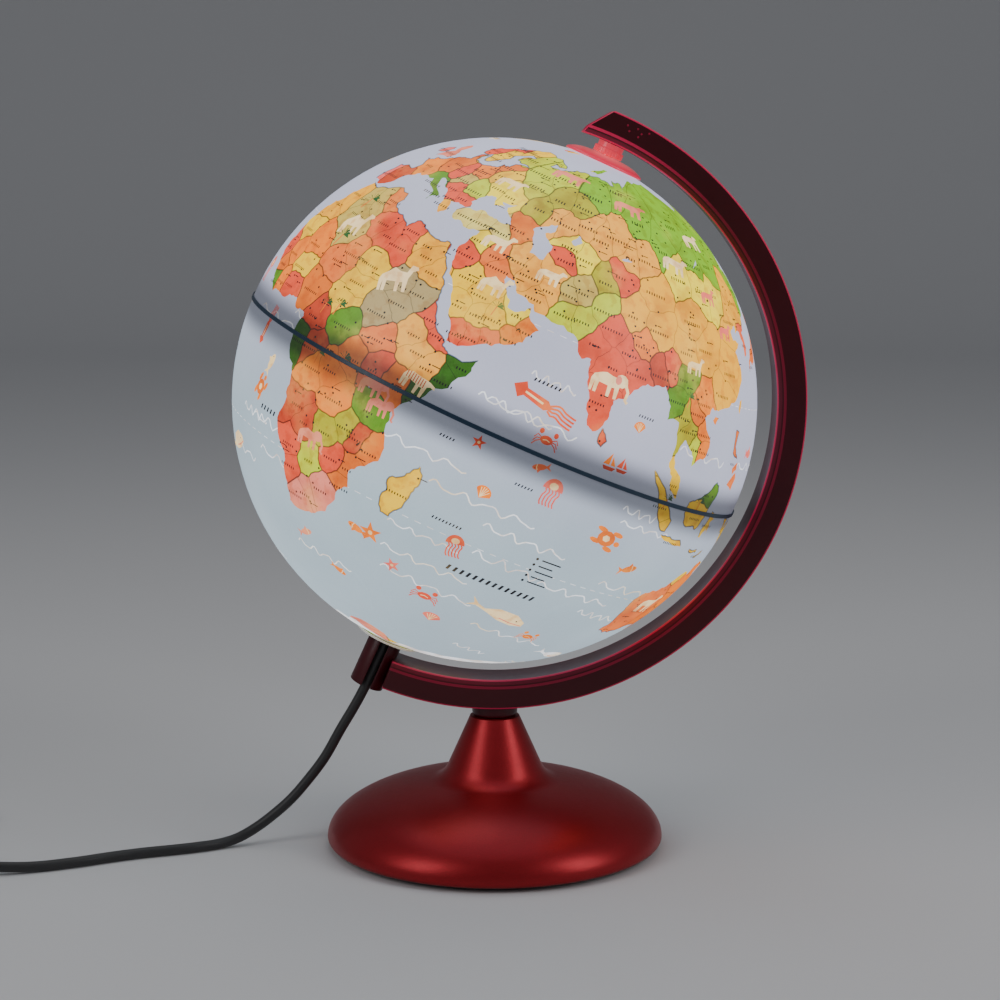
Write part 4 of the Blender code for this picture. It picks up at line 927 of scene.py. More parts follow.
        (-73, 78.2), (-60, 82), (-30, 83.5), (-18, 80), (-20, 74), (-25, 70), (-38, 65.5), (-43.5, 60),
        (-50, 62), (-54, 67), (-54, 71), (-60, 76),
    ],
    "baffin": [(-80, 73.5), (-70, 71), (-62, 66.5), (-66, 62), (-73, 64.5), (-78, 70), (-90, 73)],
    "ellesmere": [(-90, 76.5), (-78, 76.5), (-62, 82.5), (-80, 83), (-92, 80)],
    "victoria": [(-117, 70), (-105, 69.2), (-106, 73), (-118, 73)],
    "cuba": [(-84.8, 22), (-80, 23.1), (-74.3, 20.2), (-78, 20.2)],
    "hispaniola": [(-74.4, 18.5), (-72, 19.9), (-68.5, 18.5)],
    "southAmerica": [
        (-77.5, 8.5), (-75, 11), (-71.7, 12.3), (-66, 10.5), (-60, 8.5), (-52, 4.7), (-50, 0.5), (-44, -2.7),
        (-38.5, -3.7), (-35, -6), (-35.3, -9), (-39, -13), (-39.3, -18), (-41, -22), (-46, -24),
        (-48.6, -27.5), (-53.4, -33.7), (-57, -36.3), (-62, -39), (-65, -41), (-65.7, -45), (-68.3, -50.2),
        (-68.5, -52.5), (-65.5, -54.8), (-71, -54), (-75, -50), (-74, -43), (-73.5, -39), (-71.5, -33),
        (-70.3, -24), (-70.3, -18.3), (-76.2, -13.8), (-79.8, -7.2), (-81.3, -4.5), (-80, -0.5), (-78.8, 2),
        (-77.3, 5),
    ],
    "antarctica": [
        (-180, -78), (-150, -77), (-120, -74), (-100, -72.5), (-75, -73), (-62, -64), (-60, -72), (-40, -78),
        (-20, -72.5), (0, -70), (30, -69.5), (55, -66.5), (75, -69.5), (90, -66.5), (135, -66), (160, -70),
        (168, -78), (180, -78), (180, -83.15), (-180, -83.15),
    ],
}

lakes = [
    [
        (50, 45), (53, 46.8), (53.2, 44.8), (51, 43.4), (54.5, 41), (53.8, 37), (50, 37.3), (49.2, 40.2),
        (47.5, 43),
    ],
    [(58.5, 44.2), (60, 43.6), (61.6, 45.2), (60, 46.6)],
    [(31.8, 0.2), (33.2, 0.4), (34.2, -0.8), (33, -2.4), (31.8, -1.6)],
    [(74, 45.4), (76, 46.4), (79, 46.2), (76.4, 45.6)],
    [(104, 51.6), (107, 52.8), (109.6, 55.2), (108, 54.4), (105, 52.2)],
    [(-92, 46.6), (-88, 48.6), (-84.6, 46.6), (-88, 46.8)],
    [(-87.6, 42), (-86.2, 42.4), (-85.4, 45.6), (-87.4, 44.6)],
]

# each country's paint and one or more seeds of its ground
countries = {
    "morocco": ("amber", [(-6, 32), (-10, 28)]),
    "algeria": ("khaki", [(3, 28), (0.5, 32), (6, 24), (6, 33)]), "tunisia": ("salmon", [(9.6, 34.6)]),
    "libya": ("coral", [(17, 27), (13, 29), (21.5, 26), (22, 30.5)]),
    "egypt": ("amber", [(29.5, 26.8), (28, 29), (33, 24.2)]), "mauritania": ("gold", [(-11, 20)]),
    "mali": ("orange", [(-2, 18), (-8, 14)]), "niger": ("salmon", [(9.5, 17.5), (12, 20)]),
    "chad": ("gold", [(18.5, 15.5), (18.5, 20), (18, 11)]),
    "sudan": ("taupe", [(30, 15.5), (27, 12), (33, 19), (29, 19)]), "southSudan": ("salmon", [(30, 7.3)]),
    "eritrea": ("coral", [(38.8, 15.6), (41.5, 13.3)]),
    "ethiopia": ("apricot", [(39.5, 8.6), (42.5, 6.6), (37, 11.5)]),
    "somalia": ("forest", [(46.6, 5.5), (43.2, 1), (49, 9.6)]), "kenya": ("rust", [(38, 0.3)]),
    "uganda": ("coral", [(32.3, 1.6)]), "centralAfrica": ("fern", [(21, 6.6)]),
    "cameroon": ("brick", [(12.4, 5.4)]), "nigeria": ("rust", [(7.5, 9.5)]), "ghana": ("coral", [(-1.2, 8)]),
    "volta": ("gold", [(-1.5, 12.4)]), "ivory": ("orange", [(-5.6, 7.6)]),
    "guinea": ("rust", [(-10.5, 10.8)]), "liberia": ("fern", [(-9.4, 6.6)]),
    "senegal": ("coral", [(-14.6, 14.4)]), "gabon": ("forest", [(11.6, -0.6)]),
    "congo": ("brick", [(15.3, -0.6)]),
    "drCongo": ("orange", [(23, -2.6), (18.5, -4), (26.6, -7.6), (27, 1.6)]),
    "tanzania": ("fern", [(35, -6.2)]), "angola": ("brick", [(17.5, -12.3), (20.5, -15)]),
    "zambia": ("olive", [(26.6, -14.6), (31.6, -11.6)]),
    "mozambique": ("rust", [(38, -14), (34.4, -19.4), (33.4, -24)]), "malawi": ("brick", [(34.3, -12.6)]),
    "zimbabwe": ("coral", [(29.8, -19)]), "botswana": ("lime", [(24, -22)]),
    "namibia": ("coral", [(17, -21), (17.6, -25.6)]),
    "southAfrica": ("rose", [(24, -30), (28.6, -27), (20.6, -31.4)]), "madagascar": ("gold", [(46.8, -19)]),
    "turkey": ("sand", [(35, 39), (30, 39), (40.5, 39)]), "syria": ("yellow", [(38.5, 35.2)]),
    "iraq": ("salmon", [(43.4, 33.4), (45.6, 31.2)]), "jordan": ("coral", [(36.6, 31)]),
    "saudi": ("gold", [(45, 24.4), (41, 26.6), (50, 21), (42, 20.6), (47, 20.4)]),
    "yemen": ("coral", [(47, 15.6), (44.4, 15.2), (51, 16.6)]), "oman": ("rust", [(57.4, 21.4), (55, 18.6)]),
    "emirates": ("yellow", [(54.4, 23.8)]),
    "iran": ("apricot", [(53, 32.6), (58.4, 31.4), (48.6, 34.6), (58, 35.6), (56, 28.6)]),
    "turkmenistan": ("coral", [(59.4, 39.4)]), "uzbekistan": ("yellow", [(63.2, 41.6), (59, 43)]),
    "kazakhstan": ("apricot", [(67, 48), (77, 47), (56, 48), (62, 50), (72, 50.4), (52, 48.4), (82, 48)]),
    "kyrgyz": ("coral", [(74.8, 41.4)]), "tajik": ("olive", [(71, 38.6)]),
    "afghan": ("khaki", [(66, 34.2), (63, 32.4)]),
    "pakistan": ("lime", [(68, 28.4), (72.6, 32.4), (64, 28)]),
    "india": ("coral", [(78, 22), (77, 14.4), (75.6, 29.4), (84, 22.6), (81, 26), (93.4, 26), (72.4, 25)]),
    "nepal": ("orange", [(84, 28.6)]), "bengal": ("brick", [(89.8, 24.2)]),
    "myanmar": ("fern", [(96, 20.6), (97, 25.4)]), "thailand": ("olive", [(101.2, 15.6), (99, 18)]),
    "malaya": ("gold", [(102, 4.4)]), "laos": ("rust", [(103, 19.6)]),
    "vietnam": ("orange", [(106.8, 16), (107.6, 12.6), (105, 22)]), "cambodia": ("lime", [(104.8, 12.6)]),
    "china": ("amber", [
        (104, 33), (86, 41), (88, 33), (115, 30), (118, 41.6), (126, 46.6), (112, 25), (99, 38), (80, 34),
        (97, 31),
    ]),
    "mongolia": ("yellow", [(104, 46.6), (95, 47), (112, 46.6)]), "korea": ("coral", [(127.4, 37.4)]),
    "japan": ("salmon", [(138, 36.4), (132, 33)]),
    "russia": ("green", [
        (100, 62), (130, 62), (60, 60), (80, 58), (150, 64), (115, 54), (135, 50), (90, 52.6), (105, 52.4),
        (70, 66), (170, 66),
    ]),
    "steppe": ("lime", [(40, 55), (36, 60), (46, 62)]), "volga": ("olive", [(46, 49), (58, 55), (50, 54)]),
    "spain": ("brick", [(-4, 40)]), "portugal": ("pink", [(-8.4, 39.6)]),
    "france": ("orange", [(2.4, 46.8)]), "germany": ("rust", [(10.2, 51)]),
    "italy": ("fern", [(12.4, 43), (16, 40.6)]), "poland": ("orange", [(19.4, 52)]),
    "ukraine": ("yellow", [(30.6, 49.4), (36, 48.6)]), "belarus": ("gold", [(28, 53.4)]),
    "romania": ("lime", [(25, 45.8)]), "balkans": ("coral", [(19.6, 44), (21.4, 41.4), (25.2, 42.6)]),
    "greece": ("amber", [(22, 39)]), "hungary": ("khaki", [(18.6, 47.4)]),
    "bohemia": ("coral", [(15, 49.6)]), "sweden": ("gold", [(15.4, 62), (14.4, 58), (20, 66.6)]),
    "norway": ("coral", [(8.6, 61), (15, 67)]), "finland": ("lime", [(26, 63.6)]),
    "baltic": ("rust", [(25, 57)]), "britain": ("rose", [(-2, 53)]), "ireland": ("pink", [(-8, 53.3)]),
    "caucasus": ("rust", [(44.6, 41.4)]), "sumatra": ("gold", [(101, -0.6), (110, -7.4)]),
    "sarawak": ("fern", [(114.6, 4.4)]),
    "borneo": ("gold", [(114, -1), (121, -2), (137.6, -4), (124, -9.4)]),
    "philippines": ("salmon", [(122, 12)]), "papua": ("olive", [(145, -6.4)]),
    "westAustralia": ("salmon", [(121, -26)]), "northAustralia": ("orange", [(133.6, -20)]),
    "southAustralia": ("rust", [(134, -29)]), "queensland": ("gold", [(145, -22)]),
    "newSouthWales": ("coral", [(146, -33)]), "newZealand": ("green", [(172, -41.6)]),
    "unitedStates": ("coral", [(-100, 40), (-85, 36), (-115, 42), (-90, 44), (-152, 65)]),
    "canada": ("amber", [(-105, 58), (-75, 50), (-125, 57), (-90, 52), (-68, 56), (-85, 72)]),
    "mexico": ("lime", [(-102, 24), (-97, 18)]), "isthmus": ("orange", [(-86, 14)]),
    "antilles": ("rose", [(-76, 21)]), "greenland": ("cream", [(-42, 73), (-20, 66)]),
    "brazil": ("green", [(-50, -10), (-60, -5), (-45, -18), (-53, -24)]),
    "argentina": ("amber", [(-65, -35), (-69, -47), (-62, -27)]),
    "chile": ("coral", [(-71.8, -35), (-70, -25), (-73.5, -46)]), "peru": ("salmon", [(-75, -9)]),
    "colombia": ("yellow", [(-73, 4)]), "venezuela": ("orange", [(-66, 7)]),
    "bolivia": ("olive", [(-64.5, -17)]), "paraguay": ("rose", [(-58, -23)]),
    "guianas": ("fern", [(-57, 4)]), "antarctica": ("foam", [(0, -80), (120, -78), (-120, -80)]),
}


def cut(polygon, labels, near, far, tag):
    # the part of a polygon nearer to one seed than to another, with each edge's neighbour
    middle = ((near[0] + far[0]) / 2, (near[1] + far[1]) / 2)
    way = (far[0] - near[0], far[1] - near[1])
    depth = [(x - middle[0]) * way[0] + (y - middle[1]) * way[1] for x, y in polygon]
    if max(depth) <= 0:
        return polygon, labels
    points, tags = [], []
    for i, here in enumerate(polygon):
        j = (i + 1) % len(polygon)
        there = polygon[j]
        if depth[i] <= 0:
            points.append(here)
            tags.append(labels[i])
        if (depth[i] <= 0) != (depth[j] <= 0):
            t = depth[i] / (depth[i] - depth[j])
            points.append((here[0] + (there[0] - here[0]) * t, here[1] + (there[1] - here[1]) * t))
            tags.append(tag if depth[i] <= 0 else labels[i])
    return points, tags


def wandering(points, sway, rounds, dice):
    # a line with its middles pushed aside at random, finer each round
    for _ in range(rounds):
        out = []
        for (x0, y0), (x1, y1) in zip(points, points[1:]):
            push = dice.uniform(-sway, sway)
            if abs(x0) == 180 and abs(x1) == 180 or y0 == y1 == mapSet["bottom"]:
                push = 0.0
            out += [(x0, y0), ((x0 + x1) / 2 - (y1 - y0) * push, (y0 + y1) / 2 + (x1 - x0) * push)]
        points = out + [points[-1]]
    return points


def stroke(points, half):
    # a line with width, as one outline
    left, right = [], []
    for i, (x, y) in enumerate(points):
        x0, y0 = points[max(0, i - 1)]
        x1, y1 = points[min(len(points) - 1, i + 1)]
        reach = math.hypot(x1 - x0, y1 - y0) or 1.0
        nx, ny = -(y1 - y0) / reach * half, (x1 - x0) / reach * half
        left.append((x + nx, y + ny))
        right.append((x - nx, y - ny))
    return left + right[::-1]


def band(points, half):
    # a line with an even width on the ball, as outlines; it keeps clear of the seam and the polar holes
    outlines, run = [], []
    for x, y in points + [(999, 0)]:
        if abs(x) < 179 and abs(y) < 82.5:
            run.append((x, y))
            continue
        if len(run) > 1:
            squeeze = max(0.15, math.cos(math.radians(run[len(run) // 2][1])))
            outlines.append([(a / squeeze, b) for a, b in stroke([(a * squeeze, b) for a, b in run], half)])
        run = []
    return outlines


def inside(x, y, polygon):
    found = False
    for (x0, y0), (x1, y1) in zip(polygon, polygon[1:] + polygon[:1]):
        if (y0 > y) != (y1 > y) and x < (x1 - x0) * (y - y0) / (y1 - y0) + x0:
            found = not found
    return found


def wave(x, y, width, height, turns, steps=10):
    places = [math.tau * turns * i / steps for i in range(steps + 1)]
    heights = [0.7 * math.sin(a) + 0.3 * math.sin(1.7 * a) for a in places]
    return [(x + width * a / places[-1], y + height * rise) for a, rise in zip(places, heights)]


def oval(cx, cy, rx, ry, sides=14, start=0.0, stop=math.tau):
    full = stop - start >= math.tau
    turns = [start + (stop - start) * i / (sides if full else sides - 1) for i in range(sides)]
    return [(cx + rx * math.cos(a), cy + ry * math.sin(a)) for a in turns]


# small pictures, drawn a unit high in a skin colour, to be put down on the map
def star(skin):
    rays = [(math.pi / 2 + math.pi * i / 5, 0.6 if i % 2 == 0 else 0.24) for i in range(10)]
    points = [(math.cos(a) * reach, math.sin(a) * reach) for a, reach in rays]
    return [(skin, points), ("cream", oval(0, 0, 0.12, 0.12, 8))]


def jelly(skin):
    arms = [wave(0.0, -0.3 + 0.15 * i, 0.75, 0.07, 1.2) for i in range(5)]
    arms = [(skin, stroke([(y, -x) for x, y in arm], 0.035)) for arm in arms]
    return arms + [(skin, oval(0, 0, 0.45, 0.5, 12, 0, math.pi)), ("cream", oval(0, 0.16, 0.2, 0.16, 10))]


def fish(skin):
    return [
        (skin, oval(0, 0, 0.5, 0.22)), (skin, [(-0.38, 0), (-0.8, 0.28), (-0.66, 0), (-0.8, -0.28)]),
        (skin, [(-0.1, 0.18), (0.1, 0.4), (0.2, 0.16)]),
        ("cream", stroke([(0.15, 0.2), (0.2, 0), (0.15, -0.2)], 0.03)),
        ("ink", oval(0.32, 0.05, 0.04, 0.04, 6)),
    ]


def whale(skin):
    back = [(-0.9, 0.1), (-0.6, 0.02), (-0.2, 0.26), (0.4, 0.3), (0.8, 0.1)]
    belly = [(0.84, -0.1), (0.5, -0.24), (0, -0.24), (-0.5, -0.1), (-0.9, -0.02)]
    return [
        (skin, back + belly), (skin, [(-0.8, 0.04), (-1.15, 0.3), (-1.0, 0.06), (-1.2, -0.16)]),
        ("rose", stroke([(0.82, -0.08), (0.4, -0.14), (0.0, -0.12)], 0.02)),
        ("ink", oval(0.55, 0.04, 0.03, 0.03, 6)),
    ]


def squid(skin):
    arms = []
    for i in range(4):
        arm = [(0.2, 0.05 - 0.05 * i)] + wave(0.35, 0.16 - 0.11 * i, 0.7, 0.05, 1.0, 8)
        arms.append((skin, stroke(arm, 0.03)))
    upper = [(-1.0, 0), (-0.72, 0.26), (-0.6, 0.12), (0.1, 0.15), (0.3, 0)]
    lower = [(x, -y) for x, y in upper[-2:0:-1]]
    return arms + [(skin, upper + lower), ("cream", stroke([(-0.6, 0), (0.0, 0)], 0.03))]


def crab(skin):
    legs = []
    for side, drop in ((-1, 0), (-1, 0.2), (-1, 0.4), (1, 0), (1, 0.2), (1, 0.4)):
        leg = [(side * 0.2, 0), (side * 0.55, 0.18 - drop), (side * 0.7, -0.05 - drop)]
        legs.append((skin, stroke(leg, 0.03)))
    claws = [(skin, oval(x, 0.4, 0.14, 0.16, 8)) for x in (-0.42, 0.42)]
    mouth = [("cream", stroke([(-0.2, -0.04), (0, 0.02), (0.2, -0.04)], 0.025))]
    return legs + [(skin, oval(0, 0, 0.36, 0.25, 12))] + claws + mouth


def shell(skin):
    turns = (0.7, 1.2, 1.6, 2.0, 2.5)
    ribs = [stroke([(0, -0.34), (0.36 * math.cos(a), 0.34 * math.sin(a))], 0.022) for a in turns]
    return [(skin, [(0, -0.4)] + oval(0, 0, 0.5, 0.42, 9, 0, math.pi))] + [("cream", rib) for rib in ribs]


def turtle(skin):
    places = ((0.36, 0.34), (0.36, -0.34), (-0.4, 0.26), (-0.4, -0.26))
    fins = [(skin, oval(x, y, 0.26, 0.1, 8)) for x, y in places]
    back = [("rust", oval(0, 0, 0.42, 0.32, 12)), ("cream", oval(0, 0, 0.18, 0.14, 6))]
    return fins + [(skin, oval(0.58, 0, 0.15, 0.11, 8))] + back


def boat(skin):
    sails = [(skin, [(-0.04, 0), (-0.04, 0.8), (-0.5, 0)]), (skin, [(0.06, 0), (0.06, 0.6), (0.42, 0)])]
    return [("brick", [(-0.5, -0.1), (0.5, -0.1), (0.3, -0.34), (-0.34, -0.34)])] + sails


def palm(skin):
    leaves = []
    for i in range(7):
        a = math.pi * i / 6
        bend = (0.34 * math.cos(a + 0.2), 0.34 + 0.34 * math.sin(a + 0.2))
        leaves.append((skin, [(0, 0.28), bend, (0.52 * math.cos(a), 0.3 + 0.42 * math.sin(a) - 0.06)]))
    return [("rust", stroke([(0.0, 0.3), (-0.04, 0), (-0.1, -0.4)], 0.035))] + leaves


def beast(skin, neck=0.25, hump=0.0, tusk=False, stripes=False):
    # a four-legged animal in profile: neck sets the head's height, hump the back's
    body = [
        (-0.55, 0.12), (-0.3, 0.24 + hump * 0.2), (-0.1, 0.24 + hump), (0.15, 0.24 + hump * 0.3),
        (0.42, 0.26), (0.55, 0.26 + neck), (0.8, 0.2 + neck), (0.84, 0.08 + neck), (0.64, 0.1 + neck * 0.7),
        (0.52, 0.02), (0.5, -0.5), (0.38, -0.5), (0.34, -0.12), (0.22, -0.14), (0.2, -0.5), (0.08, -0.5),
        (0.06, -0.12), (-0.3, -0.1), (-0.32, -0.5), (-0.44, -0.5), (-0.46, -0.1), (-0.5, -0.5), (-0.6, -0.5),
        (-0.62, -0.05),
    ]
    out = [(skin, body)]
    if tusk:
        trunk = stroke([(0.72, 0.16), (0.9, -0.1), (0.86, -0.4), (0.98, -0.48)], 0.06)
        out += [(skin, oval(0.55, 0.2, 0.26, 0.24, 10)), (skin, trunk)]
        out += [("rose", oval(0.42, 0.2, 0.13, 0.17, 8))]
    if stripes:
        places = (-0.5, -0.38, -0.26, -0.14, -0.02, 0.1, 0.22, 0.34)
        out += [("brick", stroke([(x, 0.22), (x + 0.03, -0.1)], 0.022)) for x in places]
    return out


# each picture with its longitude, latitude, size in degrees and turn; the palms stand upright
pictures = [
    (jelly("pink"), 75.5, -5.5, 5.5, 0), (jelly("coral"), 62.5, -24.5, 5.0, 10),
    (squid("coral"), 66.5, 9.5, 8.0, -12), (star("orange"), 43.5, -31, 5.0, 10),
    (crab("pink"), 55, -9.6, 0.1, 0), (crab("coral"), 70, 3.2, 4.2, 0),
    (fish("orange"), 39.5, -31.5, 4.2, 165), (shell("orange"), 63, -11.5, 4.0, -20),
    (turtle("orange"), 92, -11, 6.2, -10), (whale("cream"), 83, -38, 8.0, -6),
    (crab("coral"), 62, -41, 4.8, 0), (shell("pink"), 67, -47, 4.5, 0), (fish("rose"), 24, -40, 4.0, 30),
    (boat("orange"), 84.5, 3.4, 3.6, 0), (boat("coral"), 87.5, 3.6, 3.2, 0),
    (fish("coral"), 71, -2.2, 3.4, 200), (star("pink"), 51, -36.5, 3.6, 30),
    (fish("orange"), 36, -46, 3.6, -20), (turtle("orange"), 3, -14, 5.0, 60),
    (whale("cream"), -12, -30, 8.0, 20), (squid("coral"), -2, -2, 5.0, 80), (fish("cream"), 5, -8, 4.4, 70),
    (jelly("pink"), -20, 8, 5.5, 0), (fish("orange"), 103, -16, 4.4, 20), (crab("orange"), 96, -42, 4.0, 0),
    (whale("foam"), 118, -48, 7.0, -10), (star("coral"), 58, -2.5, 3.0, 0),
    (shell("orange"), 88, 12.5, 3.2, 10), (fish("pink"), 133, 14, 5.0, 0), (jelly("rose"), 150, 20, 6.0, 0),
    (squid("coral"), 160, -10, 7.0, 30), (whale("cream"), 175, -25, 8.0, 0),
    (turtle("orange"), -150, 10, 6.0, 0), (star("pink"), -125, -12, 5.0, 0),
    (fish("orange"), -140, 34, 6.0, 10), (whale("cream"), -35, 42, 9.0, 0),
    (jelly("coral"), -100, -30, 6.0, 0), (boat("coral"), -45, 18, 4.5, 0), (crab("coral"), -25, -42, 5.0, 0),
    (beast("cream", 0.0, 0.08, tusk=True), 77.5, 18.6, 6.4, 0),
    (beast("rose", 0.0, 0.08, tusk=True), 33.5, -1.6, 5.2, 0),
    (beast("rose", 0.0, 0.08, tusk=True), 36.5, -4.6, 4.6, 0),
    (beast("rose", 0.0, 0.1, tusk=True), 22.5, -17.5, 5.2, 0),
    (beast("cream", 0.0, stripes=True), 41.6, 3.2, 5.6, -10),
    (beast("cream", 0.34, 0.22), 4.5, 25.4, 6.2, 10), (beast("cream", 0.3, 0.2), 26.0, 19.4, 6.4, 20),
    (beast("cream", 0.32), 41.5, 36.4, 5.0, 0), (beast("cream", 0.32, 0.2), 46.5, 27.2, 5.0, 0),
    (beast("cream", 0.2), 57, 34.4, 4.6, 0), (beast("cream", 0.1), 31.5, 52.5, 5.0, 0),
    (beast("cream", 0.2), 94, 50.4, 5.6, -8), (beast("rose", 0.1), 76, 62, 6.0, 0),
    (beast("rose", 0.05), 46, 64, 6.0, 0), (beast("cream", 0.15), 112, 60, 5.5, 0),
    (beast("pink", 0.3), 108, 45.4, 4.4, 0), (beast("pink", 0.25), 114, 38.5, 4.2, 0),
    (beast("cream", 0.35), 100, 28.5, 4.0, 0), (beast("cream", 0.3), 122, -24, 6.0, 0),
    (beast("cream", 0.3), 140, -27, 6.0, 0), (beast("cream", 0.2), -100, 46, 7.0, 0),
    (beast("cream", 0.2), -60, -12, 6.5, 0),
]
palms = [
    (1.5, 31.0, 5.0), (4.5, 21.0, 5.0), (49.5, 22.5, 3.6), (17.5, 8.5, 4.2), (25, -0.5, 4.2),
    (18.5, -2, 4.0), (14, 7.5, 4.0), (99.5, 21, 3.6), (113, 1, 4.0), (102, 0, 3.4), (142, -17, 4.0),
    (-65, -2, 5.0),
]
pictures += [(palm("leaf"), *spot, 0) for spot in palms]

# long swells: longitude, latitude, width; rows of bars over the seas: longitude, latitude, count, size
swells = [
    (52, -14, 24), (66, -18, 20), (84, -26, 22), (48, -38, 26), (78, -44, 26), (54, 6, 16), (62, 14, 10),
    (92, -4, 12), (20, -44, 20), (100, -30, 14), (-4, -20, 12),
]
seaBars = [
    (75, -31, 14, 1.7), (66, 13, 7, 0.9), (-28, -12, 8, 1.7), (150, 30, 8, 1.8), (-130, 20, 8, 1.8),
    (8, -18, 5, 1.3), (-38, 30, 9, 1.6), (59, -21, 9, 0.8), (70, -7.4, 6, 0.7), (89, 14.5, 6, 0.7),
    (52, -4.5, 5, 0.7),
]


class Drawing:
    def __init__(self):
        self.dice = random.Random(mapSet["seed"])
        self.outlines, self.kinds = [], []

    def lay(self, outline, kind, paint=None):
        # every outline runs anticlockwise, as the triangulation needs it
        turn = sum(x0 * y1 - x1 * y0 for (x0, y0), (x1, y1) in zip(outline, outline[1:] + outline[:1]))
        self.outlines.append(outline if turn > 0 else outline[::-1])
        self.kinds.append((kind, paint))

    def trace(self, line, half, kind, paint=None):
        for patch in band(line, half):
            self.lay(patch, kind, paint)

    def bars(self, x, y, count, size, slant):
        # a row of short upright bars, in place of a name
        for i in range(count):
            left = x + (i - count / 2) * size
            top = y + size * 0.8
            feet, tops = (left, left + size * 0.4), (left + size * (0.4 + slant), left + size * slant)
            self.lay([(feet[0], y), (feet[1], y), (tops[0], top), (tops[1], top)], "mark", "ink")


def drawCoasts(sheet):
    coasts = []
    for line in lands.values():
        sway = mapSet["coastSway"] if len(line) > 9 else mapSet["isleSway"]
        coasts.append(wandering(line + line[:1], sway, 2, sheet.dice)[:-1])
    for line in coasts:
        sheet.lay(line, "land")
        sheet.trace(line + line[:1], mapSet["coast"], "coast")
    for line in lakes:
        sheet.lay(wandering(line + line[:1], mapSet["coastSway"], 2, sheet.dice)[:-1], "lake")
    return coasts


def drawCountries(sheet):
    # each country is the ground nearer to its seeds than to any other's; both sides share one wandering line
    seeds = [(spot, name) for name, (_, spots) in countries.items() for spot in spots]
    edges = {}
    for i, (near, name) in enumerate(seeds):
        polygon = [(-178.0, -82.5), (178.0, -82.5), (178.0, 84.0), (-178.0, 84.0)]
        labels = [-1] * 4
        for j, (far, _) in enumerate(seeds):
            if i != j:
                polygon, labels = cut(polygon, labels, near, far, j)
        outline = []
        for k, label in enumerate(labels):
            ends = (polygon[k], polygon[(k + 1) % len(polygon)])
            ends = [tuple(round(c, 5) for c in point) for point in ends]
            if ends[0] == ends[1]:
                continue
            key = (min(i, label), max(i, label), min(ends), max(ends))
            if label < 0:
                line = ends
            elif key in edges:
                line = edges[key][::-1] if edges[key][0] != ends[0] else edges[key]
            else:
                line = wandering(ends, mapSet["borderSway"], 2 if math.dist(*ends) < 6 else 3, sheet.dice)
                edges[key] = line
            outline += line[:-1]
        sheet.lay(outline, "ground", countries[name][0])
    for (i, j, _, _), line in edges.items():
        kind = "province" if seeds[i][1] == seeds[j][1] else "border"
        sheet.trace(line, mapSet[kind], kind)


def drawSeas(sheet):
    dice = sheet.dice
    for _ in range(mapSet["currents"]):
        x, y = dice.uniform(-170, 150), dice.uniform(-62, 20)
        line = wave(x, y, dice.uniform(14, 26), dice.uniform(0.7, 1.3), dice.choice((3, 4)), 26)
        sheet.trace(line, mapSet["current"], "current")
    for x, y, width in swells:
        sheet.trace(wave(x, y, width, 1.0, 4, 36), mapSet["swell"], "current")
    for lat in (-23.4, 23.4):  # the dashed tropics
        for lon in range(120):
            sheet.trace([(-178.6 + 3 * lon, lat), (-177.1 + 3 * lon, lat)], mapSet["tropic"], "current")


def drawMarks(sheet, coasts):
    dice = sheet.dice
    for _, spots in countries.values():
        for x, y in spots:
            sheet.bars(x, y - 0.9, dice.randint(4, 8), 0.62 / math.cos(math.radians(y)), 0.0)
    for spot in seaBars:
        sheet.bars(*spot, 0.25)
    for k in range(5):  # the legend: a dot and a line in each row
        y = -20.4 - 1.5 * k
        sheet.lay(oval(80.4, y, 0.35, 0.35, 6), "mark", "ink")
        sheet.trace([(81.6, y), (86.4 - k % 2 * 1.2, y)], 0.16, "mark", "ink")
    for k in range(mapSet["towns"]):  # a town is a dot, and every third tried has a short bar beside it
        x, y = dice.uniform(-120, 150), dice.uniform(-36, 68)
        if any(inside(x, y, line) for line in coasts):
            squeeze, size = math.cos(math.radians(y)), mapSet["town"]
            dot = [(x + size * a / squeeze, y + size * b) for a, b in oval(0, 0, 1, 1, 6)]
            sheet.lay(dot, "mark", "ink")
            if k % 3 == 0:
                length = dice.uniform(0.7, 1.9)
                sheet.trace([(x + 0.5, y + 0.1), (x + 0.5 + length / squeeze, y + 0.1)], 0.1, "mark", "ink")
    for parts, lon, lat, size, turn in pictures:
        squeeze = math.cos(math.radians(lat))
        c, s = math.cos(math.radians(turn)), math.sin(math.radians(turn))
        size *= mapSet["pictureSize"]
        for skin, outline in parts:
            outline = [((x * c - y * s) * size / squeeze, (x * s + y * c) * size) for x, y in outline]
            sheet.lay([(lon + x, lat + y) for x, y in outline], "mark", skin)


def paintOf(ids, kinds):
    # what shows where several outlines overlap, with 1 where it is land or print and 0 where it is sea
    names = [kinds[i] for i in sorted(ids)]
    marks = [paint for kind, paint in names if kind == "mark"]
    ground = [paint for kind, paint in names if kind == "ground"]
    on = {kind for kind, _ in names}
    if marks:
        return (*paints[marks[-1]], 1.0)
    if "land" in on and "lake" not in on:
        colour = paints[ground[0]] if ground else paints["green"]
        for kind, factor in (("coast", 0.55), ("border", 0.48), ("province", 0.7)):
            if kind in on:
                return shade(colour, factor)
        return (*colour, 1.0)
    if "coast" in on:
        return (*paints["shore"], 1.0)
    if "current" in on:
        return (*paints["foam"], 1.0)
    return (0.0, 0.0, 0.0, 0.0)


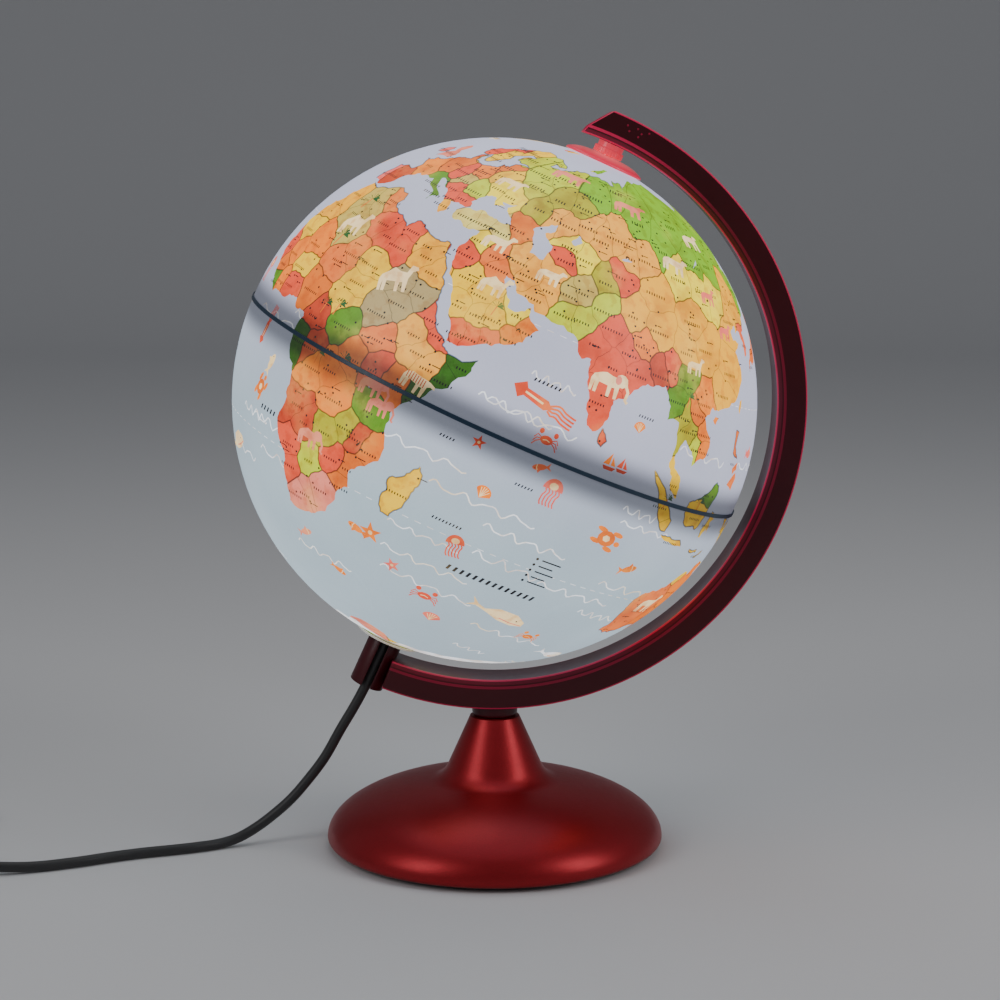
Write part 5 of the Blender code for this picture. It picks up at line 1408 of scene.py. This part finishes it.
def mapGrid(points):
    # adds the grid's points, which keep the ball round, and gives the lines along its rims and equator
    step, top, bottom = mapSet["grid"], mapSet["top"], mapSet["bottom"]
    columns = round(360 / step)
    lats = [bottom] + [lat * step for lat in range(math.ceil(bottom / step), math.ceil(top / step))] + [top]
    edges = []
    for row, lat in enumerate(lats):
        first = len(points)
        points += [Vector((-180 + step * i, lat)) for i in range(columns + 1)]
        if row in (0, len(lats) - 1) or lat == 0:
            edges += [(first + i, first + i + 1) for i in range(columns)]
        if row:
            edges += [(first - columns - 1, first), (first - 1, first + columns)]
    return edges


def buildShell(name, node, flat, ball, made, colours, sign):
    chosen = [k for k, face in enumerate(made) if sign * sum(flat[i].y for i in face) > 0]
    used = sorted({i for k in chosen for i in made[k]})
    number = {old: new for new, old in enumerate(used)}
    mesh = bpy.data.meshes.new(name)
    mesh.from_pydata([ball[i] for i in used], [], [[number[i] for i in made[k]] for k in chosen])
    layer = mesh.color_attributes.new("paint", "FLOAT_COLOR", "CORNER")
    layer.data.foreach_set("color", [c for k in chosen for _ in made[k] for c in colours[k]])
    weld = bmesh.new()
    weld.from_mesh(mesh)
    bmesh.ops.remove_doubles(weld, verts=weld.verts, dist=2e-6)
    weld.to_mesh(mesh)
    weld.free()
    mesh.shade_smooth()
    piece = linked(name, mesh)
    skin = piece.modifiers.new("wall", "SOLIDIFY")
    skin.thickness = mapSet["wall"] * mm
    skin.offset = -1.0
    settled(piece, 60)
    rest(name, "map_print", "globe", node)
    print(f"{name}: {len(piece.data.polygons)} faces")


def buildMap():
    radius = max((v.co - centre).length for v in frame["nodes"]["south_hemisphere"].data.vertices)
    sheet = Drawing()
    coasts = drawCoasts(sheet)
    drawCountries(sheet)
    drawSeas(sheet)
    drawMarks(sheet, coasts)
    print(f"map drawn: {len(sheet.outlines)} outlines")
    points, faces = [], []
    for outline in sheet.outlines:
        faces.append(list(range(len(points), len(points) + len(outline))))
        points += [Vector(p) for p in outline]
    edges = mapGrid(points)
    flat, _, made, _, _, ids = delaunay_2d_cdt(points, edges, faces, 0, 1e-5, True)
    around = {tuple(row): paintOf(row, sheet.kinds) for row in ids}
    colours = [around[tuple(row)] for row in ids]
    ball = []
    for lon, lat in flat:
        a, b = math.radians(lon - mapSet["zeroAt"]), min(mapSet["top"], max(mapSet["bottom"], lat))
        b = math.radians(b)
        spot = Vector((math.cos(b) * math.cos(a), math.cos(b) * math.sin(a), math.sin(b)))
        ball.append(leaning @ (spot * radius))
    for name, node, sign in (("northMap", "north_hemisphere", 1), ("southMap", "south_hemisphere", -1)):
        buildShell(name, node, flat, ball, made, colours, sign)


# what the globe carries: tape, cap, spacer under the arm's tip, and the ring in its south hole
fittingSet = {
    "ball": 130.0, "tape": 0.75,
    "capRadius": 20.0, "capTop": 133.0, "capHub": 6.4, "capFoot": 119.5, "capBore": 2.7,
    "spacer": (133.3, 139.1), "flutes": 30, "fluteRing": 7.2,
}


def capProfile():
    f = fittingSet
    r, top, hub, foot, bore = f["capRadius"], f["capTop"], f["capHub"], f["capFoot"], f["capBore"]

    def over(radius, lift):
        return math.sqrt((f["ball"] + lift) ** 2 - radius * radius)

    crown = [(bore, foot + 3), (bore, top - 0.3), (bore + 0.3, top), (0.44 * r, top), (0.64 * r, top - 0.45)]
    crown += [(0.82 * r, top - 1.35), (0.93 * r, top - 2.4), (0.985 * r, top - 3.0), (r, top - 3.4)]
    crown += [(r, over(r, 0.5)), (r - 0.3, over(r - 0.3, 0.3)), (0.7 * r, over(0.7 * r, 0.4))]
    crown += [(hub, over(hub, 0.3)), (hub, foot + 0.4), (hub - 0.4, foot)]
    return [(0, foot + 3)] + softened(crown, 1.2, 3) + [(0, foot)]


def buildGlobeFittings():
    f = fittingSet
    near, far = f["ball"] + 0.3, f["ball"] + f["tape"]
    tape = [(near, -0.9), (far - 0.13, -1.0), (far, -0.85), (far, 0.85), (far - 0.13, 1.0), (near, 0.9)]
    turnedPiece("equatorBand", tape, 240, leaning, "equator_tape", "globe", "equator_band")
    turnedPiece("northCap", capProfile(), 128, leaning, "cap_plastic", "globe", "north_cap")

    low, high = f["spacer"]  # fine flutes stand round it
    spacer = [(2.7, low), (6.9, low), (7.15, low + 0.3), (7.15, high - 2.9), (6.9, high - 2.55)]
    core = born("spacerCore", turned(spacer + [(6.5, high - 2.5), (6.5, high), (2.7, high)], 96), leaning)
    flute = prism([(-0.35, -0.32), (0.25, -0.2), (0.25, 0.2), (-0.35, 0.32)], low + 0.15, high - 2.7)
    flutes = repeated("flutes", "ring", eased(born("flute", flute), 0.1, 2), "cap_plastic", leaning, {
        "Count": f["flutes"], "Radius": f["fluteRing"] * mm, "Start": 0.0, "Step": math.tau / f["flutes"]})
    joined("pivotSpacer", [core, flutes])
    rest("pivotSpacer", "cap_plastic", "stand", "pivot_spacer")

    ring = [(13.5, -130.4), (15.2, -130.4), (15.2, -127.35), (20.0, -126.6), (20.0, -125.2), (13.5, -125.2)]
    turnedPiece("southBearing", ring, 96, leaning, "white_plastic", "globe", "south_bearing_ring")
    print("globe fittings turned")


buildMap()
buildGlobeFittings()


# the arm, as radii and sides about the globe's centre; the tip is cut along radius and angle pairs
armSet = {
    "inner": 139.4, "outer": 154.2, "half": 13.1, "floorHalf": 12.05, "chamfer": 3.8, "wall": 2.2,
    "floor": 2.4, "edge": 0.75, "ridge": 1.4, "bend": 0.5, "endOffset": 7.2, "steps": 150,
    "tip": ((139.4, 72.2), (143.2, 71.5), (154.2, 67.9)),
    "ribThick": 1.6, "ribDepth": 9.0, "ribPitch": 12.0, "ribStart": 54.0, "ribs": 12,
    "sleeve": 8.7, "bore": 6.4, "sleeveLow": -158.0, "sleeveHigh": -131.9, "slot": 4.6,
    "marks": ((62.6, 151.0), (61.6, 149.6), (61.9, 147.6), (63.9, 148.2), (60.4, 151.6), (64.6, 150.4)),
}


def armSection(inset, depth):
    # the channel's section as (radius, side) points, its edges rounded; depth is how far it is cut in
    a = armSet
    inner, outer, half = a["inner"] + inset, a["outer"] - inset, a["half"] - inset
    lip, floor = half - a["wall"], outer - 0.02 - depth * (outer - 0.02 - a["inner"] - a["floor"])
    side = [(inner, 0.0), (inner, a["floorHalf"] - inset), (a["inner"] + a["chamfer"], half), (outer, half)]
    side = [Vector(point) for point in side + [(outer, lip), (floor, lip), (floor, 0.0)]]
    out, glowKinds = [], []
    for k, most in enumerate((a["edge"], a["ridge"], a["edge"], a["edge"] * 0.6, a["bend"]), 1):
        before, here, after = side[k - 1:k + 2]
        reach = min(most, (before - here).length * 0.45 + 0.001, (after - here).length * 0.45 + 0.001)
        out += corner(before, here, after, reach, 4)
        # each face's kind, which sets its painted glow and painted highlight
        glowKinds += {
            1: ["edge"] * 4 + ["chamfer"], 2: ["", "ridge", "ridge", "", ""],
            3: ["edge"] * 4 + [""], 4: ["edge"] * 4 + [""], 5: [""] * 5,
        }[k]
    return out + [(r, -s) for r, s in reversed(out)], glowKinds[:-1] + [""] + glowKinds[-2::-1] + [""]


def tipAngle(radius):
    (r0, a0), (r1, a1), (r2, a2) = armSet["tip"]
    if radius < r1:
        return a0 + (a1 - a0) * (radius - r0) / (r1 - r0)
    return a1 + (a2 - a1) * (radius - r1) / (r2 - r1)


def armChannel(middle):
    # the section swept from the tip to the lamp's end, walled at both; each face's kind sets its painted
    # glow and painted highlight
    a = armSet
    end = -90 - math.degrees(tilt) + math.degrees(a["endOffset"] / middle)
    span = math.radians(70 - end) * middle  # length of the sweep in mm
    wall, length = a["wall"], span - 2 * a["wall"] - 0.3
    stops = [(0.0, 0.5, 0.0), (0.5, 0.0, 0.0), (wall, 0.0, 0.0), (wall + 0.15, 0.0, 1.0)]
    stops += [(wall + 0.15 + length * i / a["steps"], 0.0, 1.0) for i in range(1, a["steps"] + 1)]
    stops += [(span - wall, 0.0, 0.0), (span - 0.5, 0.0, 0.0), (span, 0.5, 0.0)]
    shape = bmesh.new()
    rim = shape.faces.layers.float.new("rim")
    rows = []
    for gone, inset, depth in stops:
        points, flags = armSection(inset, depth)
        ring = []
        for radius, side in points:
            angle = math.radians(tipAngle(radius) + (end - tipAngle(radius)) * gone / span)
            spot = Vector((radius * math.cos(angle), side, radius * math.sin(angle))) * mm
            ring.append(shape.verts.new(centre + spot))
        rows.append(ring)
    for k, (near, far) in enumerate(zip(rows, rows[1:])):
        # painted glow on the edges fades away from the tip, a painted highlight streak on the ridge and
        # chamfer fades within the first rows, and the tip's end gets the most
        fade, close = 1 - (k / len(rows)) ** 0.5, max(0.0, 1 - k / 26)
        lit = {"edge": 0.4 + 0.6 * fade, "ridge": 0.16 + 0.7 * close, "chamfer": 0.07 + 0.1 * close, "": 0.0}
        for i in range(len(near)):
            j = (i + 1) % len(near)
            face = shape.faces.new((near[i], near[j], far[j], far[i]))
            face[rim] = 0.9 if k == 0 else lit[flags[i]]
    shape.faces.new(rows[0])[rim] = 0.55
    shape.faces.new(rows[-1])
    return born("armChannel", shape)


def buildArm():
    a = armSet
    middle = (a["inner"] + a["outer"]) / 2
    parts = [armChannel(middle)]
    thick, root = a["ribThick"] / 2, a["inner"] + a["floor"]
    near, far = root - 0.4 - middle, root + a["ribDepth"] - middle
    rib = [(near, -thick), (far, -thick), (far, thick), (near, thick)]
    half = a["half"] - a["wall"] + 0.3
    upright = Matrix.Translation(centre) @ Matrix.Rotation(math.pi / 2, 4, "X")
    values = {"Radius": middle * mm, "Step": -math.radians(a["ribPitch"])}
    for first, count in ((0, a["ribs"]), (a["ribs"] + 1, 1)):  # none stands over the collar
        item = eased(born("rib", prism(rib, -half, half)), 0.3, 2)
        values = {**values, "Count": count, "Start": math.radians(a["ribStart"] - first * a["ribPitch"])}
        parts.append(repeated(f"ribs{count}", "ring", item, "arm_plastic", upright, values))

    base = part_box("base_shell")[1].z / mm  # the collar stands on the stem
    low, top = base - 23.0, base + 19.6
    collar = [(0, low), (7.6, low), (8.2, low + 0.6), (8.2, base + 0.3), (9.9, base + 0.3)]
    collar += [(10.9, base + 0.7), (11.35, base + 1.4), (11.5, base + 2.4), (11.5, top), (0, top)]
    parts.append(born("collar", turned(collar, 96)))

    outline = []  # the lead's sleeve: a round tube with a slot down its front
    for radius, sides, turn in ((a["sleeve"], 57, 1), (a["bore"], 41, -1)):
        edge = math.asin(a["slot"] / 2 / radius)
        outline += oval(0, 0, radius, radius, sides, edge - math.pi / 2, 3 * math.pi / 2 - edge)[::turn]
    parts.append(eased(born("sleeve", prism(outline, a["sleeveLow"], a["sleeveHigh"]), leaning), 0.45))

    for turn, radius in a["marks"]:  # small raised dots near the tip, on the front, each with a faint painted glow
        spot = Vector((math.cos(math.radians(turn)), 0, math.sin(math.radians(turn)))) * radius
        dot = [(0, -0.3), (0.35, -0.27), (0.6, 0.1), (0, 0.1)]
        dot = turned([(r, z - a["half"]) for r, z in dot], 16)
        place = Matrix.Translation(centre + spot * mm) @ Matrix.Rotation(-math.pi / 2, 4, "X")
        mark = born("mark", dot, place)
        rim = mark.data.attributes.new("rim", "FLOAT", "FACE")
        rim.data.foreach_set("value", [0.3] * len(mark.data.polygons))
        parts.append(mark)
    joined("globeArm", parts)
    rest("globeArm", "arm_plastic", "stand", "meridian_arm")

    pin = [(0, 144.9), (3.2, 144.8), (4.6, 144.3), (5.3, 143.4), (5.5, 142.6), (5.5, 142.1)]
    pin += [(3.7, 142.1), (3.7, 139.4), (2.4, 139.4), (2.4, 124.1), (1.6, 122.9), (0, 122.9)]
    turnedPiece("pivotPin", pin, 64, leaning, "steel", "stand", "pivot_pin")
    print("arm swept")


buildArm()


# the base: a domed shell with a conical stem; the slope is in degrees
baseSet = {
    "dome": 31.0, "edge": 5.0, "lip": 2.3, "wall": 2.5, "stemTop": 12.75, "slope": 24.0, "bevel": 0.7,
    "bore": 8.5, "coverReach": 80.6, "foot": 0.4, "web": 29.0, "boltHole": 2.9,
}


def domeLine(radius, height, near, far, count):
    start, stop = math.acos(near / radius), math.acos(far / radius)
    turns = [start + (stop - start) * i / count for i in range(count + 1)]
    return [(radius * math.cos(t), baseSet["edge"] + height * math.sin(t)) for t in turns]


def buildBase():
    b = baseSet
    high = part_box("base_shell")[1]
    radius, top = high.x / mm, high.z / mm
    slope = math.tan(math.radians(b["slope"]))
    shoulder, foot = top - b["bevel"], b["foot"] * radius

    def cone(z):
        return b["stemTop"] + (shoulder - z) * slope

    filletTop, meet = b["edge"] + b["dome"] + 5.5, b["edge"] + 0.947 * b["dome"]
    bends = [(cone(filletTop), filletTop), (cone(meet), meet), domeLine(radius, b["dome"], foot, 0, 1)[0]]
    lip = b["edge"] - b["lip"]
    turns = [math.pi / 2 * i / 8 for i in range(1, 9)]
    under = [(radius - lip + lip * math.cos(t), b["edge"] - lip * math.sin(t)) for t in turns]
    profile = [(b["bore"], top), (b["stemTop"] - b["bevel"], top), (b["stemTop"] - 0.2, top - 0.2)]
    profile.append((b["stemTop"], shoulder))
    profile += [(cone(z), z) for z in [shoulder - (shoulder - filletTop) * i / 6 for i in range(1, 6)]]
    profile += bent(*[Vector(bend) for bend in bends], 12)[:-1]
    profile += domeLine(radius, b["dome"], foot, radius, 40) + under + [(b["coverReach"], under[-1][1])]
    profile += domeLine(radius - b["wall"], b["dome"] - b["wall"], b["coverReach"], 21, 16)
    web, hole = top - b["web"], b["boltHole"]
    profile += [(9.5, web), (hole, web), (hole, web + 4), (b["bore"], web + 4)]
    turnedPiece("baseShell", profile, 180, None, "base_lacquer", "stand", "base_shell")
    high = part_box("foot_pad")[1]
    radius, top = high.x / mm, high.z / mm
    pad = [(0, 0), (radius - 0.3, 0), (radius, 0.3), (radius, top - 0.2), (radius - 0.2, top), (0, top)]
    turnedPiece("footPad", pad, 128, None, "pad_foam", "stand", "foot_pad")
    print("base turned")


buildBase()

# the nodes that stay get the finish that the record's slot names
for part in frame["record"]["subparts"]:
    node = frame["nodes"][part["node"]]
    if not node.hide_render:
        node.data.materials.clear()
        node.data.materials.append(finish[part["material_slot"]])


# a pale floor that curves up into a backdrop, soft lamps and an even sky
studioSet = {
    "floor": (0.62, 0.62, 0.63, 1), "sky": (0.66, 0.68, 0.72, 1), "skyPower": 0.30,
    "side": 4.0, "back": 2.6, "curve": 1.2, "height": 5.0, "aim": (0, 0, 0.15),
    "lamps": (
        ("leftBox", (-1.05, -0.75, 0.85), (0.55, 0.9), 5.0),
        ("rightBox", (1.15, -0.55, 0.75), (0.5, 0.9), 5.6),
        ("topBox", (0.1, 0.25, 1.5), (1.2, 0.9), 3.8),
    ),
}


def buildFloor():
    side, back, curve = studioSet["side"], studioSet["back"], studioSet["curve"]
    turns = [math.pi / 2 * i / 16 for i in range(17)]
    line = [(-side, 0.0)] + [(back + curve * math.sin(t), curve - curve * math.cos(t)) for t in turns]
    line.append((back + curve, studioSet["height"]))
    shape = bmesh.new()
    rows = [[shape.verts.new((x, y, z)) for y, z in line] for x in (-side, side)]
    for i in range(len(line) - 1):
        shape.faces.new((rows[0][i], rows[1][i], rows[1][i + 1], rows[0][i + 1]))
    mesh = bpy.data.meshes.new("floor")
    shape.to_mesh(mesh)
    shape.free()
    mesh.shade_smooth()
    sheet = Sheet("paleFloor", {"Roughness": 0.7})
    pale = studioSet["floor"]
    sheet.feed("Base Color", sheet.blend(sheet.noise(3.0) * 0.25, pale, shade(pale, 0.94)))
    mesh.materials.append(sheet.material)
    linked("floor", mesh)


def buildStudio():
    buildFloor()
    world = bpy.data.worlds.new("studio")
    bpy.context.scene.world = world
    world.use_nodes = True
    sky = world.node_tree.nodes["Background"]
    sky.inputs["Color"].default_value = studioSet["sky"]
    sky.inputs["Strength"].default_value = studioSet["skyPower"]
    for name, place, size, power in studioSet["lamps"]:
        light = bpy.data.lights.new(name, "AREA")
        light.shape = "RECTANGLE"
        light.size, light.size_y = size
        light.energy = power
        lamp = linked(name, light)
        lamp.location = place
        lamp.rotation_euler = (Vector(studioSet["aim"]) - Vector(place)).to_track_quat("-Z", "Y").to_euler()
    print("studio lit")


buildStudio()
